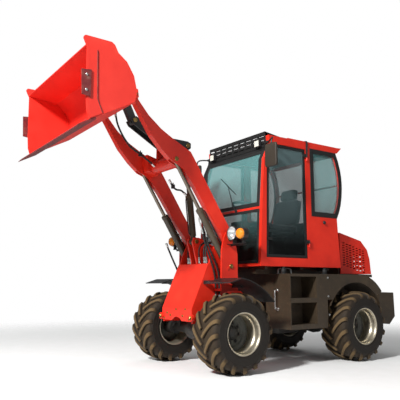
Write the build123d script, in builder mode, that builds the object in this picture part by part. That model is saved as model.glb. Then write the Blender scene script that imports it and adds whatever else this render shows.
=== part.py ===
from build123d import *
import math
import os

# A compact articulated wheel loader with its boom raised and its bucket partly dumped.
# Millimetres. X points forward, Y to the left (the door side), Z up, the ground is Z 0,
# and X 0 is the upright articulation pin. Every piece is drawn where it stands.

os.makedirs("parts", exist_ok=True)

# Wheels
WHEELBASE = 1800
TRACK = 1250
TYRE_D = 787
TYRE_W = 394
TYRE_FLATS = 28
LUG_DEEP = 31
LUGS = 16
LUG_LEAN = 26
LUG_HALF_W = 21
LUG_BAR = 46
LUG_FALL = 9
LUG_NOSE = 14
BELLY_R = 290
BEAD_R = 204
RIM_SEAT_R = 190.5
RIM_FLANGE_R = 208
RIM_HALF_W = 172
RIM_WALL = 7.5
DISH_AT = -30
DISH_THICK = 12
HUB_R = 72
SEAT_GAP = 0.4

# Running clearances
GAP = 6
PIN_GAP = 0.3

# Front frame and tower
TOWER_INNER_Y = 290
TOWER_OUTER_Y = 415
PLATE = 20
COVER_TOP = (958, 1089)
COVER_FOOT = (1168, 618)
COVER_THICK = 12
SKIRT_LOW = 490
TOWER_REAR = 704
TOWER_LOW = 470

# Boom
ARM_IN_Y = 315
ARM_OUT_Y = 385
LIFT_Y = (ARM_IN_Y + ARM_OUT_Y) / 2
EYE_HALF = 20
EYE_GAP = 3
EYE_POCKET = [
    (1220, 1900),
    (1386, 2166),
    (1400, 2184),
    (1424, 2190),
    (1450, 2183),
    (1484, 2146),
    (1504, 2112),
    (1504, 2060),
    (1420, 1900),
]
BOOM_PIVOT = (770, 1350)
LIFT_BASE = (750, 1060)
LIFT_EYE = (1425, 2140)
BUCKET_PIN = (1925, 2735)
TILT_BASE = (949, 1336)
TILT_EYE = (1070, 2400)
CRANK_PIN = (1330, 2360)
CRANK_END = (1735, 2580)
LINK_PIN = (1930, 2980)
PIN_R = 22
LIFT_PIN_R = 18
EYE_R = 48

# Cylinders
LIFT_BARREL_R = 36
LIFT_ROD_R = 19
LIFT_BARREL_LONG = 690
TILT_BARREL_R = 42
TILT_ROD_R = 24
TILT_BARREL_LONG = 520

# Bellcrank and link
CRANK_GAP_Y = 45
CRANK_PLATE = 18
LINK_HALF_Y = 30
EAR_IN_Y = 38

# Bucket
BUCKET_HALF_W = 800
SIDE_THICK = 12
SHEET = 10
HEEL = (2128, 2487)
TOE = (2600, 2231)
EDGE_THICK = 20
EDGE_LONG = 210
EDGE_OUT = 100
EDGE_PARTS = 5
DOUBLER = 6
EAR_TIP = (2608, 2974)
EAR_TIP_R = 26

# Rear frame
BEAM_Y = 300
BEAM_PLATE = 16
BEAM_LOW = 470
BEAM_HIGH = 760
NOSE_R = 78
LUG_PLATE = 40
PIVOT_R = 26
SHAFT_R = 32
BALL_R = 38
GEARBOX_REAR = -480
GEARBOX_FRONT = -156

# Cab
CAB_HALF_W = 575
CAB_WALL = 40
CAB_FLOOR = 1065
FLOOR_THICK = 30
CAB_TOP = 2470
CAB_INSIDE = CAB_HALF_W - CAB_WALL
ROOF_THICK = 68
GUARD_STEP = 8
GUARD_REAR = 30
GLASS = 6
DOOR_REAR = -243
DOOR_FRONT = 388
DOOR_LOW = 1160
DOOR_HIGH = 2440
DOOR_FRAME = 28
HINGE_X = -256
HINGE_Y = CAB_HALF_W + 15
HINGE_R = 9
HINGES = (1290, 2300)

# Skirts and step boxes
SKIRT_Y = 695
SKIRT_THICK = 8
BOX_FRONT = 165
BOX_REAR = -245
BOX_LOW = 390
BOX_TOP = 985
STEP_DEEP = 230
STEP_THICK = 50
HANDLE_R = 8
HANDLE_OUT = 42
ARCH_R = 500

# Hood and counterweight
HOOD_HALF_W = 450
HOOD_WALL = 12
HOOD_FRONT = -930
HOOD_LOW = 1000
HOOD_HINGE = (-916, 1510)
HOOD_HINGE_R = 5
SLIT_LONG = 46
SLIT_HIGH = 13
SLIT_STEP = 62
SLIT_ROW = 30
GRILLE_TOP = (-975, 1385)
GRILLE_LOW = (-975, 1105)
GRILLE_FALL = 0.235
GRILLE_REAR = -1400
WEIGHT_HALF_W = 450
HITCH_R = 15
TAIL = -1950

FRONT_X = WHEELBASE / 2
REAR_X = -WHEELBASE / 2
AXLE_Z = TYRE_D / 2
WHEEL_Y = TRACK / 2
HUB_FACE_Y = WHEEL_Y - 50

pieces = []


def keep(part, name):
    """Label a finished piece and hold it for the common placing at the end."""
    part.label = name
    pieces.append(part)


def side_plane(y):
    """The upright plane at Y whose sketch axes are X and Z; extruding goes to the right, -Y."""
    return Plane.XZ.offset(-y)


def side_face(outline, y, round_by=0):
    """A closed side outline of (x, z) points as a face at Y."""
    with BuildSketch(side_plane(y)) as face:
        with BuildLine():
            Polyline(*outline, close=True)
        make_face()
        if round_by:
            fillet(face.vertices(), round_by)
    return face.sketch


def disc(at, radius, y):
    """A round face of (x, z) centre at Y."""
    with BuildSketch(side_plane(y)) as face:
        with Locations(at):
            Circle(radius)
    return face.sketch


def along(start, end, distance):
    """The point at a distance from start towards end, in (x, z)."""
    span = math.dist(start, end)
    return (
        start[0] + (end[0] - start[0]) * distance / span,
        start[1] + (end[1] - start[1]) * distance / span,
    )


def line_plane(start, end, distance, y=0):
    """A plane square to the line from start to end, its centre at a distance along it."""
    x, z = along(start, end, distance)
    span = math.dist(start, end)
    return Plane(
        origin=(x, y, z),
        x_dir=(0, 1, 0),
        z_dir=((end[0] - start[0]) / span, 0, (end[1] - start[1]) / span),
    )


def round_bar(start, end, first, last, radius, y=0):
    """A round bar along the line from start to end, between two distances on it."""
    with BuildSketch(line_plane(start, end, first, y)) as section:
        Circle(radius)
    extrude(section.sketch, amount=last - first)


def cross_pin(at, radius, y0, y1, mode=Mode.ADD):
    """A pin or bore along Y between y0 and y1."""
    extrude(disc(at, radius, max(y0, y1)), amount=abs(y1 - y0), mode=mode)


def slab(outline, y0, y1, mode=Mode.ADD, round_by=0):
    """A plate of a side outline between y0 and y1."""
    extrude(side_face(outline, max(y0, y1), round_by), amount=abs(y1 - y0), mode=mode)


def block(x0, x1, y0, y1, z0, z1, mode=Mode.ADD):
    """A plain block between two corners."""
    with Locations(((x0 + x1) / 2, (y0 + y1) / 2, (z0 + z1) / 2)):
        Box(abs(x1 - x0), abs(y1 - y0), abs(z1 - z0), mode=mode)


# Front frame: two inner side plates, two outer cheeks, webs and the articulation fork
def front_frame():
    inner = [
        (TOWER_REAR, TOWER_LOW),
        (COVER_FOOT[0] - COVER_THICK, TOWER_LOW),
        (COVER_FOOT[0] - COVER_THICK, COVER_FOOT[1]),
        (COVER_TOP[0] - COVER_THICK, COVER_TOP[1]),
        (TILT_BASE[0] - 30, 1180),
        (BOOM_PIVOT[0] + 66, BOOM_PIVOT[1]),
        (BOOM_PIVOT[0] + 40, BOOM_PIVOT[1] + 66),
        (BOOM_PIVOT[0] - 40, BOOM_PIVOT[1] + 66),
        (TOWER_REAR, BOOM_PIVOT[1] + 20),
    ]
    cheek = [
        (660, 800),
        (880, 800),
        (870, 1230),
        (BOOM_PIVOT[0] + 70, BOOM_PIVOT[1] + 10),
        (BOOM_PIVOT[0] + 40, BOOM_PIVOT[1] + 68),
        (BOOM_PIVOT[0] - 30, BOOM_PIVOT[1] + 68),
        (BOOM_PIVOT[0] - 70, BOOM_PIVOT[1] + 20),
        (660, 1190),
    ]
    with BuildPart() as frame:
        for side in (1, -1):
            inside = side * (TOWER_INNER_Y - PLATE)
            slab(inner, inside, side * TOWER_INNER_Y)
            outside = side * (TOWER_OUTER_Y - PLATE)
            slab(cheek, outside, side * TOWER_OUTER_Y)
            # floor web and rear web between plate and cheek
            block(660, 880, side * TOWER_INNER_Y, outside, 800, 825)
            block(TOWER_REAR - 30, TOWER_REAR - 14, inside, outside, 800, 960)
            block(TOWER_REAR - 30, TOWER_REAR, inside, side * TOWER_INNER_Y, 800, 960)
            # pins for the boom and the lift cylinder
            cross_pin(BOOM_PIVOT, PIN_R, side * (TOWER_INNER_Y - PLATE), side * (TOWER_OUTER_Y + 8))
            cross_pin(LIFT_BASE, PIN_R, side * (TOWER_INNER_Y - PLATE), side * (TOWER_OUTER_Y + 8))
        # cross plates between the inner plates
        block(TOWER_REAR, TOWER_REAR + 16, -TOWER_INNER_Y + PLATE, TOWER_INNER_Y - PLATE, TOWER_LOW, 1300)
        block(TOWER_REAR, COVER_FOOT[0] - 20, -TOWER_INNER_Y + PLATE, TOWER_INNER_Y - PLATE, 560, 580)
        # lugs for the tilt cylinder
        for side in (1, -1):
            lug = [
                (COVER_TOP[0] - 14, 1040),
                (COVER_TOP[0] - 14, COVER_TOP[1] + 12),
                (TILT_BASE[0] + 52, TILT_BASE[1] - 10),
                (TILT_BASE[0] + 36, TILT_BASE[1] + 42),
                (TILT_BASE[0] - 36, TILT_BASE[1] + 42),
                (TOWER_REAR + 10, 1290),
                (TOWER_REAR + 10, 1040),
            ]
            slab(lug, side * (LINK_HALF_Y + 8), side * (LINK_HALF_Y + 8 + PLATE))
        block(TOWER_REAR + 10, 955, -TOWER_INNER_Y + PLATE, TOWER_INNER_Y - PLATE, 1040, 1056)
        cross_pin(TILT_BASE, PIN_R, -(LINK_HALF_Y + 34), LINK_HALF_Y + 34)
        # articulation fork
        for low in (BEAM_LOW - 35, BEAM_HIGH + 5):
            with BuildSketch(Plane.XY.offset(low)) as fork:
                with BuildLine():
                    Polyline((0, NOSE_R), (TOWER_REAR + 5, 200), (TOWER_REAR + 5, -200), (0, -NOSE_R))
                    ThreePointArc((0, -NOSE_R), (-NOSE_R, 0), (0, NOSE_R))
                make_face()
            extrude(fork.sketch, amount=30)
        with BuildSketch(Plane.XY.offset(BEAM_LOW - 35)) as pin:
            Circle(PIVOT_R)
        extrude(pin.sketch, amount=BEAM_HIGH - BEAM_LOW + 70)
        # web that ties the fork plates ahead of the swing of the rear nose
        block(330, TOWER_REAR + 5, -12, 12, BEAM_LOW - 35, BEAM_HIGH + 5)
    keep(frame.part, "front_frame")


def front_cover():
    """The inclined cover plate with its folded foot, round bosses and arched cut-out."""
    profile = [
        COVER_TOP,
        COVER_FOOT,
        (COVER_FOOT[0], SKIRT_LOW),
        (COVER_FOOT[0] - COVER_THICK, SKIRT_LOW),
        (COVER_FOOT[0] - COVER_THICK, COVER_FOOT[1]),
        (COVER_TOP[0] - COVER_THICK, COVER_TOP[1]),
    ]
    with BuildPart() as cover:
        slab(profile, -TOWER_INNER_Y, TOWER_INNER_Y)
        with BuildSketch(Plane.YZ.offset(COVER_FOOT[0] + 40)) as arch:
            with Locations((0, SKIRT_LOW - 110)):
                Circle(150)
        extrude(arch.sketch, amount=-80, mode=Mode.SUBTRACT)
        for side in (1, -1):
            with BuildSketch(Plane.YZ.offset(COVER_FOOT[0] - COVER_THICK)) as boss:
                with Locations((side * (TOWER_INNER_Y + 5), SKIRT_LOW + 40)):
                    Circle(34)
            extrude(boss.sketch, amount=COVER_THICK + 20)
    keep(cover.part, "front_cover")


# Axles
def axle(x, name, pad_y, shaft_to):
    """Rigid axle: tapered arms, a round differential case and pads under the frame plates."""
    with BuildPart() as housing:
        with BuildSketch(Plane.YZ.offset(x)) as half:
            with BuildLine():
                Polyline(
                    (0, AXLE_Z),
                    (0, AXLE_Z + 125),
                    (70, AXLE_Z + 115),
                    (120, AXLE_Z + 62),
                    (WHEEL_Y - 200, AXLE_Z + 48),
                    (WHEEL_Y - 200, AXLE_Z + 80),
                    (WHEEL_Y - 64, AXLE_Z + 80),
                    (HUB_FACE_Y - 2, AXLE_Z + 60),
                    (HUB_FACE_Y - 2, AXLE_Z),
                    close=True,
                )
            make_face()
        revolve(half.sketch, Axis((x, 0, AXLE_Z), (0, 1, 0)))
        mirror(about=Plane.XZ)
        for side in (1, -1):
            block(x - 60, x + 60, side * (pad_y - 40), side * (pad_y + 20), AXLE_Z, TOWER_LOW)
        with BuildSketch(Plane.YZ.offset(x)) as shaft:
            with Locations((0, AXLE_Z)):
                Circle(SHAFT_R)
        extrude(shaft.sketch, amount=shaft_to - x)
    keep(housing.part, name)


# Wheels, drawn with the axle along the local Z and the wheel's outer face up
def flats(height, radius):
    """The tyre's outline at a height along the axle, as a face with TYRE_FLATS sides."""
    with BuildSketch(Plane.XY.offset(height)) as face:
        RegularPolygon(radius, TYRE_FLATS)
    return face.sketch.face()


def tyre_body():
    """Carcass with plain flats, hollowed sides and a round seat, and the lugs fused to it."""
    tread_r = TYRE_D / 2 - LUG_DEEP
    shoulder = TYRE_W / 2 - 32
    belly = TYRE_W / 2 - 5
    with BuildPart() as tyre:
        levels = ((-belly, BELLY_R), (-shoulder, tread_r), (shoulder, tread_r), (belly, BELLY_R))
        loft([flats(height, radius) for height, radius in levels], ruled=True)
        for side in (1, -1):
            hollow = (flats(side * RIM_HALF_W, BEAD_R), flats(side * belly, BELLY_R))
            loft(hollow, ruled=True, mode=Mode.SUBTRACT)
        Cylinder(RIM_SEAT_R + SEAT_GAP, 2 * TYRE_W, mode=Mode.SUBTRACT)
        pitch = 360 / LUGS
        for side, shift in ((1, 0), (-1, pitch / 2)):
            for number in range(LUGS):
                lug(side, shift + number * pitch)
    return tyre.part


def lug(side, angle):
    """One slanted bar from the shoulder to the tread's middle, its top through both tips."""
    tip = math.sqrt((TYRE_D / 2) ** 2 - LUG_HALF_W**2)
    shoulder = Vector(tip - LUG_FALL, 0, side * (TYRE_W / 2 - LUG_HALF_W)).rotate(Axis.Z, angle)
    nose = Vector(tip, 0, side * LUG_NOSE).rotate(Axis.Z, angle + LUG_LEAN)
    run = (nose - shoulder).normalized()
    middle = (nose + shoulder) / 2
    radial = Vector(middle.X, middle.Y, 0)
    upright = radial - run * radial.dot(run)
    with Locations(Plane(origin=middle, x_dir=run, z_dir=upright)):
        reach = (nose - shoulder).length
        Box(reach, 2 * LUG_HALF_W, LUG_BAR, align=(Align.CENTER, Align.CENTER, Align.MAX))


def rim_body():
    inner = RIM_SEAT_R - RIM_WALL
    with BuildPart() as rim:
        with BuildSketch(Plane.XZ) as section:
            with BuildLine():
                Polyline(
                    (0, DISH_AT),
                    (inner - 30, DISH_AT),
                    (inner, DISH_AT + 30),
                    (inner, RIM_HALF_W - 4),
                    (RIM_FLANGE_R, RIM_HALF_W + 14),
                    (RIM_FLANGE_R, RIM_HALF_W + 6),
                    (RIM_SEAT_R, RIM_HALF_W),
                    (RIM_SEAT_R, -RIM_HALF_W),
                    (RIM_FLANGE_R, -RIM_HALF_W - 6),
                    (RIM_FLANGE_R, -RIM_HALF_W - 14),
                    (inner, -RIM_HALF_W + 4),
                    (inner, DISH_AT - DISH_THICK),
                    (0, DISH_AT - DISH_THICK),
                    close=True,
                )
            make_face()
        revolve(section.sketch, Axis.Z)
        with Locations((0, 0, HUB_FACE_Y - WHEEL_Y)):
            Cylinder(HUB_R, 70, align=(Align.CENTER, Align.CENTER, Align.MIN))
    return rim.part


def wheels():
    tyre = tyre_body()
    rim = rim_body()
    for x, end in ((FRONT_X, "front"), (REAR_X, "rear")):
        for side, hand in ((1, "left"), (-1, "right")):
            rolling = Plane(origin=(x, side * WHEEL_Y, AXLE_Z), x_dir=(1, 0, 0), z_dir=(0, 1, 0))
            outward = Plane(origin=(x, side * WHEEL_Y, AXLE_Z), x_dir=(1, 0, 0), z_dir=(0, side, 0))
            keep(rolling.from_local_coords(tyre), f"tyre_{end}_{hand}")
            keep(outward.from_local_coords(rim), f"rim_{end}_{hand}")


# Front fenders
def front_fenders():
    with BuildPart() as fenders:
        with BuildSketch(side_plane(830)) as band:
            with BuildLine():
                front = Line((1083, 880), (930, 925))
                ThreePointArc(front @ 1, (655, 812), (520, 690))
                offset(amount=8, side=Side.RIGHT)
            make_face()
        extrude(band.sketch, amount=395)
        block(980, 1020, TOWER_INNER_Y, 560, 875, 910)
        block(700, 740, TOWER_OUTER_Y, 560, 835, 865)
        mirror(about=Plane.XZ)
    keep(fenders.part, "front_fenders")


# Boom
def boom():
    rear = [
        (1905, 2795),
        (1874, 2684),
        (1754, 2546),
        (1606, 2428),
        (1462, 2346),
        (1245, 2239),
        (1215, 2195),
        (1127, 2060),
        (868, 1655),
        (763, 1500),
        (712, 1385),
    ]
    front = [
        (740, 1290),
        (800, 1290),
        (863, 1414),
        (955, 1526),
        (1211, 1900),
        (1337, 2046),
        (1400, 2085),
        (1470, 2110),
        (1495, 2130),
        (1590, 2210),
        (1720, 2350),
        (1820, 2503),
        (1905, 2640),
        (1965, 2690),
        (1985, 2740),
        (1960, 2785),
    ]
    with BuildPart() as arms:
        for side in (1, -1):
            slab(rear + front, side * ARM_IN_Y, side * ARM_OUT_Y)
            for pin in (BOOM_PIVOT, BUCKET_PIN):
                bore = PIN_R + PIN_GAP
                cross_pin(pin, bore, side * (ARM_IN_Y - 5), side * (ARM_OUT_Y + 5), mode=Mode.SUBTRACT)
            # pocket for the lift rod's eye, open towards the cylinder, with pin heads outside
            half_pocket = EYE_HALF + EYE_GAP
            slab(EYE_POCKET, side * (LIFT_Y - half_pocket), side * (LIFT_Y + half_pocket), Mode.SUBTRACT)
            cross_pin(LIFT_EYE, LIFT_PIN_R + 8, side * (ARM_IN_Y - 8), side * ARM_IN_Y)
            cross_pin(LIFT_EYE, LIFT_PIN_R + 8, side * ARM_OUT_Y, side * (ARM_OUT_Y + 8))
        # cross-member with two fin plates and the bellcrank's lugs
        with BuildSketch(side_plane(ARM_IN_Y)) as member:
            with Locations((1320, 2170)):
                Circle(75)
        extrude(member.sketch, amount=2 * ARM_IN_Y)
        for side in (1, -1):
            lug = [
                (1270, 2200),
                (1390, 2200),
                (1388, 2370),
                (1360, 2412),
                (1300, 2412),
                (1275, 2370),
            ]
            far = CRANK_GAP_Y + CRANK_PLATE + GAP
            slab(lug, side * far, side * (far + CRANK_PLATE))
            fin = [(1240, 2170), (1290, 2080), (1420, 2120), (1440, 2300), (1300, 2262)]
            slab(fin, side * 200, side * ARM_IN_Y)
        far = CRANK_GAP_Y + CRANK_PLATE + GAP
        cross_pin(CRANK_PIN, PIN_R, -far - CRANK_PLATE - 8, far + CRANK_PLATE + 8)
    keep(arms.part, "boom")


# Cylinders
def lift_barrels():
    with BuildPart() as barrels:
        for side in (1, -1):
            y = side * LIFT_Y
            round_bar(LIFT_BASE, LIFT_EYE, 0, LIFT_BARREL_LONG, LIFT_BARREL_R, y)
            cross_pin(LIFT_BASE, LIFT_BARREL_R + 6, y - 30, y + 30)
            cross_pin(LIFT_BASE, PIN_R + PIN_GAP, y - 60, y + 60, mode=Mode.SUBTRACT)
            bore = line_plane(LIFT_BASE, LIFT_EYE, 120, y)
            with BuildSketch(bore) as hole:
                Circle(LIFT_ROD_R + PIN_GAP)
            extrude(hole.sketch, amount=LIFT_BARREL_LONG, mode=Mode.SUBTRACT)
    keep(barrels.part, "lift_barrels")


def lift_rods():
    reach = math.dist(LIFT_BASE, LIFT_EYE)
    with BuildPart() as rods:
        for side in (1, -1):
            y = side * LIFT_Y
            round_bar(LIFT_BASE, LIFT_EYE, LIFT_BARREL_LONG - 80, reach, LIFT_ROD_R, y)
            cross_pin(LIFT_EYE, LIFT_PIN_R + 11, y - EYE_HALF, y + EYE_HALF)
    keep(rods.part, "lift_rods")


def tilt_barrel():
    with BuildPart() as barrel:
        round_bar(TILT_BASE, TILT_EYE, 0, 70, 28)
        round_bar(TILT_BASE, TILT_EYE, 62, TILT_BARREL_LONG, TILT_BARREL_R - 6)
        round_bar(TILT_BASE, TILT_EYE, TILT_BARREL_LONG - 60, TILT_BARREL_LONG, TILT_BARREL_R)
        cross_pin(TILT_BASE, 40, -LINK_HALF_Y, LINK_HALF_Y)
        cross_pin(TILT_BASE, PIN_R + PIN_GAP, -60, 60, mode=Mode.SUBTRACT)
        with BuildSketch(line_plane(TILT_BASE, TILT_EYE, 90)) as hole:
            Circle(TILT_ROD_R + PIN_GAP)
        extrude(hole.sketch, amount=TILT_BARREL_LONG, mode=Mode.SUBTRACT)
    keep(barrel.part, "tilt_barrel")


def tilt_rod():
    reach = math.dist(TILT_BASE, TILT_EYE)
    with BuildPart() as rod:
        round_bar(TILT_BASE, TILT_EYE, TILT_BARREL_LONG - 320, reach, TILT_ROD_R)
        cross_pin(TILT_EYE, 40, -LINK_HALF_Y, LINK_HALF_Y)
        cross_pin(TILT_EYE, PIN_R, -CRANK_GAP_Y + GAP, CRANK_GAP_Y - GAP)
    keep(rod.part, "tilt_rod")


def bellcrank():
    plate = [
        (TILT_EYE[0] - 40, TILT_EYE[1] - 25),
        (TILT_EYE[0] - 10, TILT_EYE[1] - 48),
        (CRANK_PIN[0], CRANK_PIN[1] - 62),
        (CRANK_END[0] + 20, CRANK_END[1] - 42),
        (CRANK_END[0] + 46, CRANK_END[1]),
        (CRANK_END[0] - 10, CRANK_END[1] + 46),
        (CRANK_PIN[0] + 40, CRANK_PIN[1] + 95),
        (TILT_EYE[0], TILT_EYE[1] + 48),
        (TILT_EYE[0] - 40, TILT_EYE[1] + 30),
    ]
    with BuildPart() as crank:
        for side in (1, -1):
            slab(plate, side * CRANK_GAP_Y, side * (CRANK_GAP_Y + CRANK_PLATE))
        with BuildSketch(side_plane(CRANK_GAP_Y)) as hub:
            with Locations(CRANK_PIN):
                Circle(EYE_R)
        extrude(hub.sketch, amount=2 * CRANK_GAP_Y)
        cross_pin(CRANK_PIN, PIN_R + PIN_GAP, -100, 100, mode=Mode.SUBTRACT)
        head = CRANK_GAP_Y + CRANK_PLATE + 6
        cross_pin(CRANK_END, PIN_R, -head, head)
        for side in (1, -1):
            cross_pin(TILT_EYE, PIN_R + 6, side * (CRANK_GAP_Y + CRANK_PLATE), side * head)
    keep(crank.part, "bellcrank")


def tilt_link():
    with BuildPart() as link:
        reach = math.dist(CRANK_END, LINK_PIN)
        centre = along(CRANK_END, LINK_PIN, reach / 2)
        turn = math.degrees(math.atan2(LINK_PIN[1] - CRANK_END[1], LINK_PIN[0] - CRANK_END[0]))
        with BuildSketch(side_plane(LINK_HALF_Y)) as slot:
            with Locations(Location((centre[0], centre[1], 0), (0, 0, turn))):
                SlotCenterToCenter(reach, 2 * EYE_R - 16)
        extrude(slot.sketch, amount=2 * LINK_HALF_Y)
        cross_pin(CRANK_END, PIN_R + PIN_GAP, -60, 60, mode=Mode.SUBTRACT)
        cross_pin(LINK_PIN, PIN_R, -LINK_HALF_Y - 2, LINK_HALF_Y + 2)
    keep(link.part, "tilt_link")


def bucket_inside(y):
    """The side view of what the bucket's sheet encloses, as a face at Y."""
    with BuildSketch(side_plane(y)) as inside:
        with BuildLine():
            top = Line((2604, 2925), (2285, 2893))
            back = ThreePointArc(top @ 1, (2150, 2745), (2110, 2589))
            heel = Line(back @ 1, HEEL)
            floor = Line(heel @ 1, TOE)
            Line(floor @ 1, top @ 0)
        make_face()
    return inside.sketch


# Coupler: ears beside each arm, ears for the link and a cross plate on the bucket's back
def coupler():
    ear = [
        (1880, 2700),
        (1900, 2685),
        (1960, 2690),
        (2092, 2600),
        (2092, 2760),
        (2060, 2850),
        (1960, 2795),
        (1890, 2780),
    ]
    link_ear = [
        (1895, 2960),
        (1900, 3010),
        (1950, 3018),
        (2100, 2900),
        (2170, 2790),
        (2120, 2700),
        (2040, 2760),
    ]
    with BuildPart() as body:
        for side in (1, -1):
            slab(ear, side * (ARM_IN_Y - GAP - 16), side * (ARM_IN_Y - GAP))
            slab(ear, side * (ARM_OUT_Y + GAP), side * (ARM_OUT_Y + GAP + 16))
            cross_pin(BUCKET_PIN, PIN_R, side * (ARM_IN_Y - GAP - 20), side * (ARM_OUT_Y + GAP + 24))
            slab(link_ear, side * EAR_IN_Y, side * (EAR_IN_Y + 16))
            cross_pin(LINK_PIN, PIN_R + 6, side * (EAR_IN_Y + 16), side * (EAR_IN_Y + 24))
        # cross plate, cut to the curve of the bucket's back
        block(2092, 2250, -500, 500, 2600, 2770)
        extrude(bucket_inside(500), amount=1000, mode=Mode.SUBTRACT)
    keep(body.part, "coupler")


# Bucket
def bucket():
    side_outline = [
        (2604, 3000),
        (2626, 2950),
        (2600, 2901),
        (2595, 2461),
        (2586, 2330),
        (2561, 2256),
        (2425, 2328),
        (2130, 2488),
        (2108, 2589),
        (2142, 2733),
        (2215, 2849),
        (2301, 2913),
        (2337, 2979),
        (2367, 3000),
    ]
    with BuildPart() as shell:
        doubler = [
            (2504, 2888),
            (2593, 2888),
            (2587, 2461),
            (2578, 2334),
            (2554, 2268),
            (2441, 2328),
            (2492, 2447),
        ]
        for side in (1, -1):
            slab(side_outline, side * (BUCKET_HALF_W - SIDE_THICK), side * BUCKET_HALF_W)
            cross_pin(EAR_TIP, EAR_TIP_R, side * (BUCKET_HALF_W - SIDE_THICK), side * BUCKET_HALF_W)
            slab(doubler, side * BUCKET_HALF_W, side * (BUCKET_HALF_W + DOUBLER))
        with BuildSketch(side_plane(BUCKET_HALF_W - SIDE_THICK)) as sheet:
            with BuildLine():
                top = Line((2604, 2925), (2285, 2893))
                back = ThreePointArc(top @ 1, (2150, 2745), (2110, 2589))
                heel = Line(back @ 1, HEEL)
                Line(heel @ 1, TOE)
                offset(amount=SHEET, side=Side.LEFT)
            make_face()
        extrude(sheet.sketch, amount=2 * (BUCKET_HALF_W - SIDE_THICK))
    keep(shell.part, "bucket")


def under_floor(distance, depth):
    """A point at a distance from the heel along the floor's outside and a depth below it."""
    span = math.dist(HEEL, TOE)
    run = ((TOE[0] - HEEL[0]) / span, (TOE[1] - HEEL[1]) / span)
    return (
        HEEL[0] + run[0] * distance + run[1] * depth,
        HEEL[1] + run[1] * distance - run[0] * depth,
    )


def cutting_edge():
    """Bevelled bar under the floor's front and a bolted cutter beside each side plate."""
    tip = math.dist(HEEL, TOE) + EDGE_OUT
    with BuildPart() as edge:
        bar = [
            under_floor(tip - EDGE_LONG, 0.5),
            under_floor(tip - 45, 0.5),
            under_floor(tip, EDGE_THICK - 4),
            under_floor(tip, EDGE_THICK),
            under_floor(tip - EDGE_LONG, EDGE_THICK),
        ]
        slab(bar, -BUCKET_HALF_W, BUCKET_HALF_W)
        # narrow gaps at the front, where one length of the edge meets the next
        part_long = 2 * BUCKET_HALF_W / EDGE_PARTS
        joints = [number * part_long - BUCKET_HALF_W for number in range(1, EDGE_PARTS)]
        front = under_floor(tip - 60, 0)
        with Locations(*[(front[0] + 60, y, front[1]) for y in joints]):
            Box(120, 6, 160, mode=Mode.SUBTRACT)
        for side in (1, -1):
            cutter = [(2560, 2450), (2640, 2460), (2650, 2680), (2560, 2690)]
            face = BUCKET_HALF_W + DOUBLER
            slab(cutter, side * face, side * (face + 12))
    keep(edge.part, "cutting_edge")


# Rear frame
def rear_frame():
    beam = [
        (-80, BEAM_LOW),
        (-80, BEAM_HIGH),
        (-1000, BEAM_HIGH),
        (-1100, 700),
        (-1640, 700),
        (-1640, BEAM_LOW),
    ]
    with BuildPart() as frame:
        for side in (1, -1):
            slab(beam, side * (BEAM_Y - BEAM_PLATE), side * BEAM_Y)
            # rails and pads that carry the cab
            block(-690, 370, side * (BEAM_Y - BEAM_PLATE), side * 360, 990, 1030)
            for x in (330, -650):
                block(x - 40, x + 40, side * 290, side * 360, 1030, CAB_FLOOR)
            for x in (-110, -200, -600):
                block(x - 30, x + 30, side * (BEAM_Y - BEAM_PLATE), side * BEAM_Y, 700, 990)
        between = BEAM_Y - BEAM_PLATE
        block(-1640, -1624, -between, between, BEAM_LOW, 700)
        block(GEARBOX_FRONT, GEARBOX_FRONT + 16, -between, between, BEAM_LOW, BEAM_HIGH)
        for low in (BEAM_LOW, BEAM_HIGH - LUG_PLATE):
            with BuildSketch(Plane.XY.offset(low)) as nose:
                with BuildLine():
                    Polyline((0, NOSE_R), (-150, 200), (-150, -200), (0, -NOSE_R))
                    ThreePointArc((0, -NOSE_R), (NOSE_R, 0), (0, NOSE_R))
                make_face()
                Circle(PIVOT_R + PIN_GAP, mode=Mode.SUBTRACT)
            extrude(nose.sketch, amount=LUG_PLATE)
    keep(frame.part, "rear_frame")


def counterweight():
    profile = [
        (-1640, 400),
        (-1694, 387),
        (-1833, 358),
        (TAIL, 456),
        (TAIL + 6, 764),
        (-1640, 772),
    ]
    with BuildPart() as weight:
        slab(profile, -WEIGHT_HALF_W, WEIGHT_HALF_W)
        # hitch: a notch in the rear face with an upright pin hole, blind below
        block(TAIL - 10, TAIL + 120, -70, 70, 520, 600, mode=Mode.SUBTRACT)
        with BuildSketch(Plane.XY.offset(470)) as hole:
            with Locations((TAIL + 55, 0)):
                Circle(HITCH_R)
        extrude(hole.sketch, amount=320, mode=Mode.SUBTRACT)
    keep(weight.part, "counterweight")


def engine():
    with BuildPart() as motor:
        block(-1400, -960, -230, 230, 700, 1280)
        for side in (1, -1):
            block(-1300, -1080, side * 230, side * (BEAM_Y - BEAM_PLATE), 620, 720)
            block(-1300, -1080, side * 180, side * 230, 620, 700)
    keep(motor.part, "engine")


def driveline():
    """Gearbox below the cab with the shaft joint on the articulation's centre line."""
    with BuildPart() as drive:
        block(GEARBOX_REAR, GEARBOX_FRONT, -150, 150, 300, 640)
        with BuildSketch(Plane.YZ.offset(GEARBOX_FRONT)) as stub:
            with Locations((0, AXLE_Z)):
                Circle(SHAFT_R)
        extrude(stub.sketch, amount=-GEARBOX_FRONT)
        with Locations((0, 0, AXLE_Z)):
            Sphere(BALL_R)
    keep(drive.part, "driveline")


# Rear skirts with their wheel arches
def arch_face(inner, outer, first, last, y):
    """A band of a ring around the rear axle between two angles, as a face at Y."""
    centre = (REAR_X, AXLE_Z)
    with BuildSketch(side_plane(y)) as band:
        with BuildLine():
            low = CenterArc(centre, inner, first, last - first)
            high = CenterArc(centre, outer, first, last - first)
            Line(low @ 0, high @ 0)
            Line(low @ 1, high @ 1)
        make_face()
    return band.sketch


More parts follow.
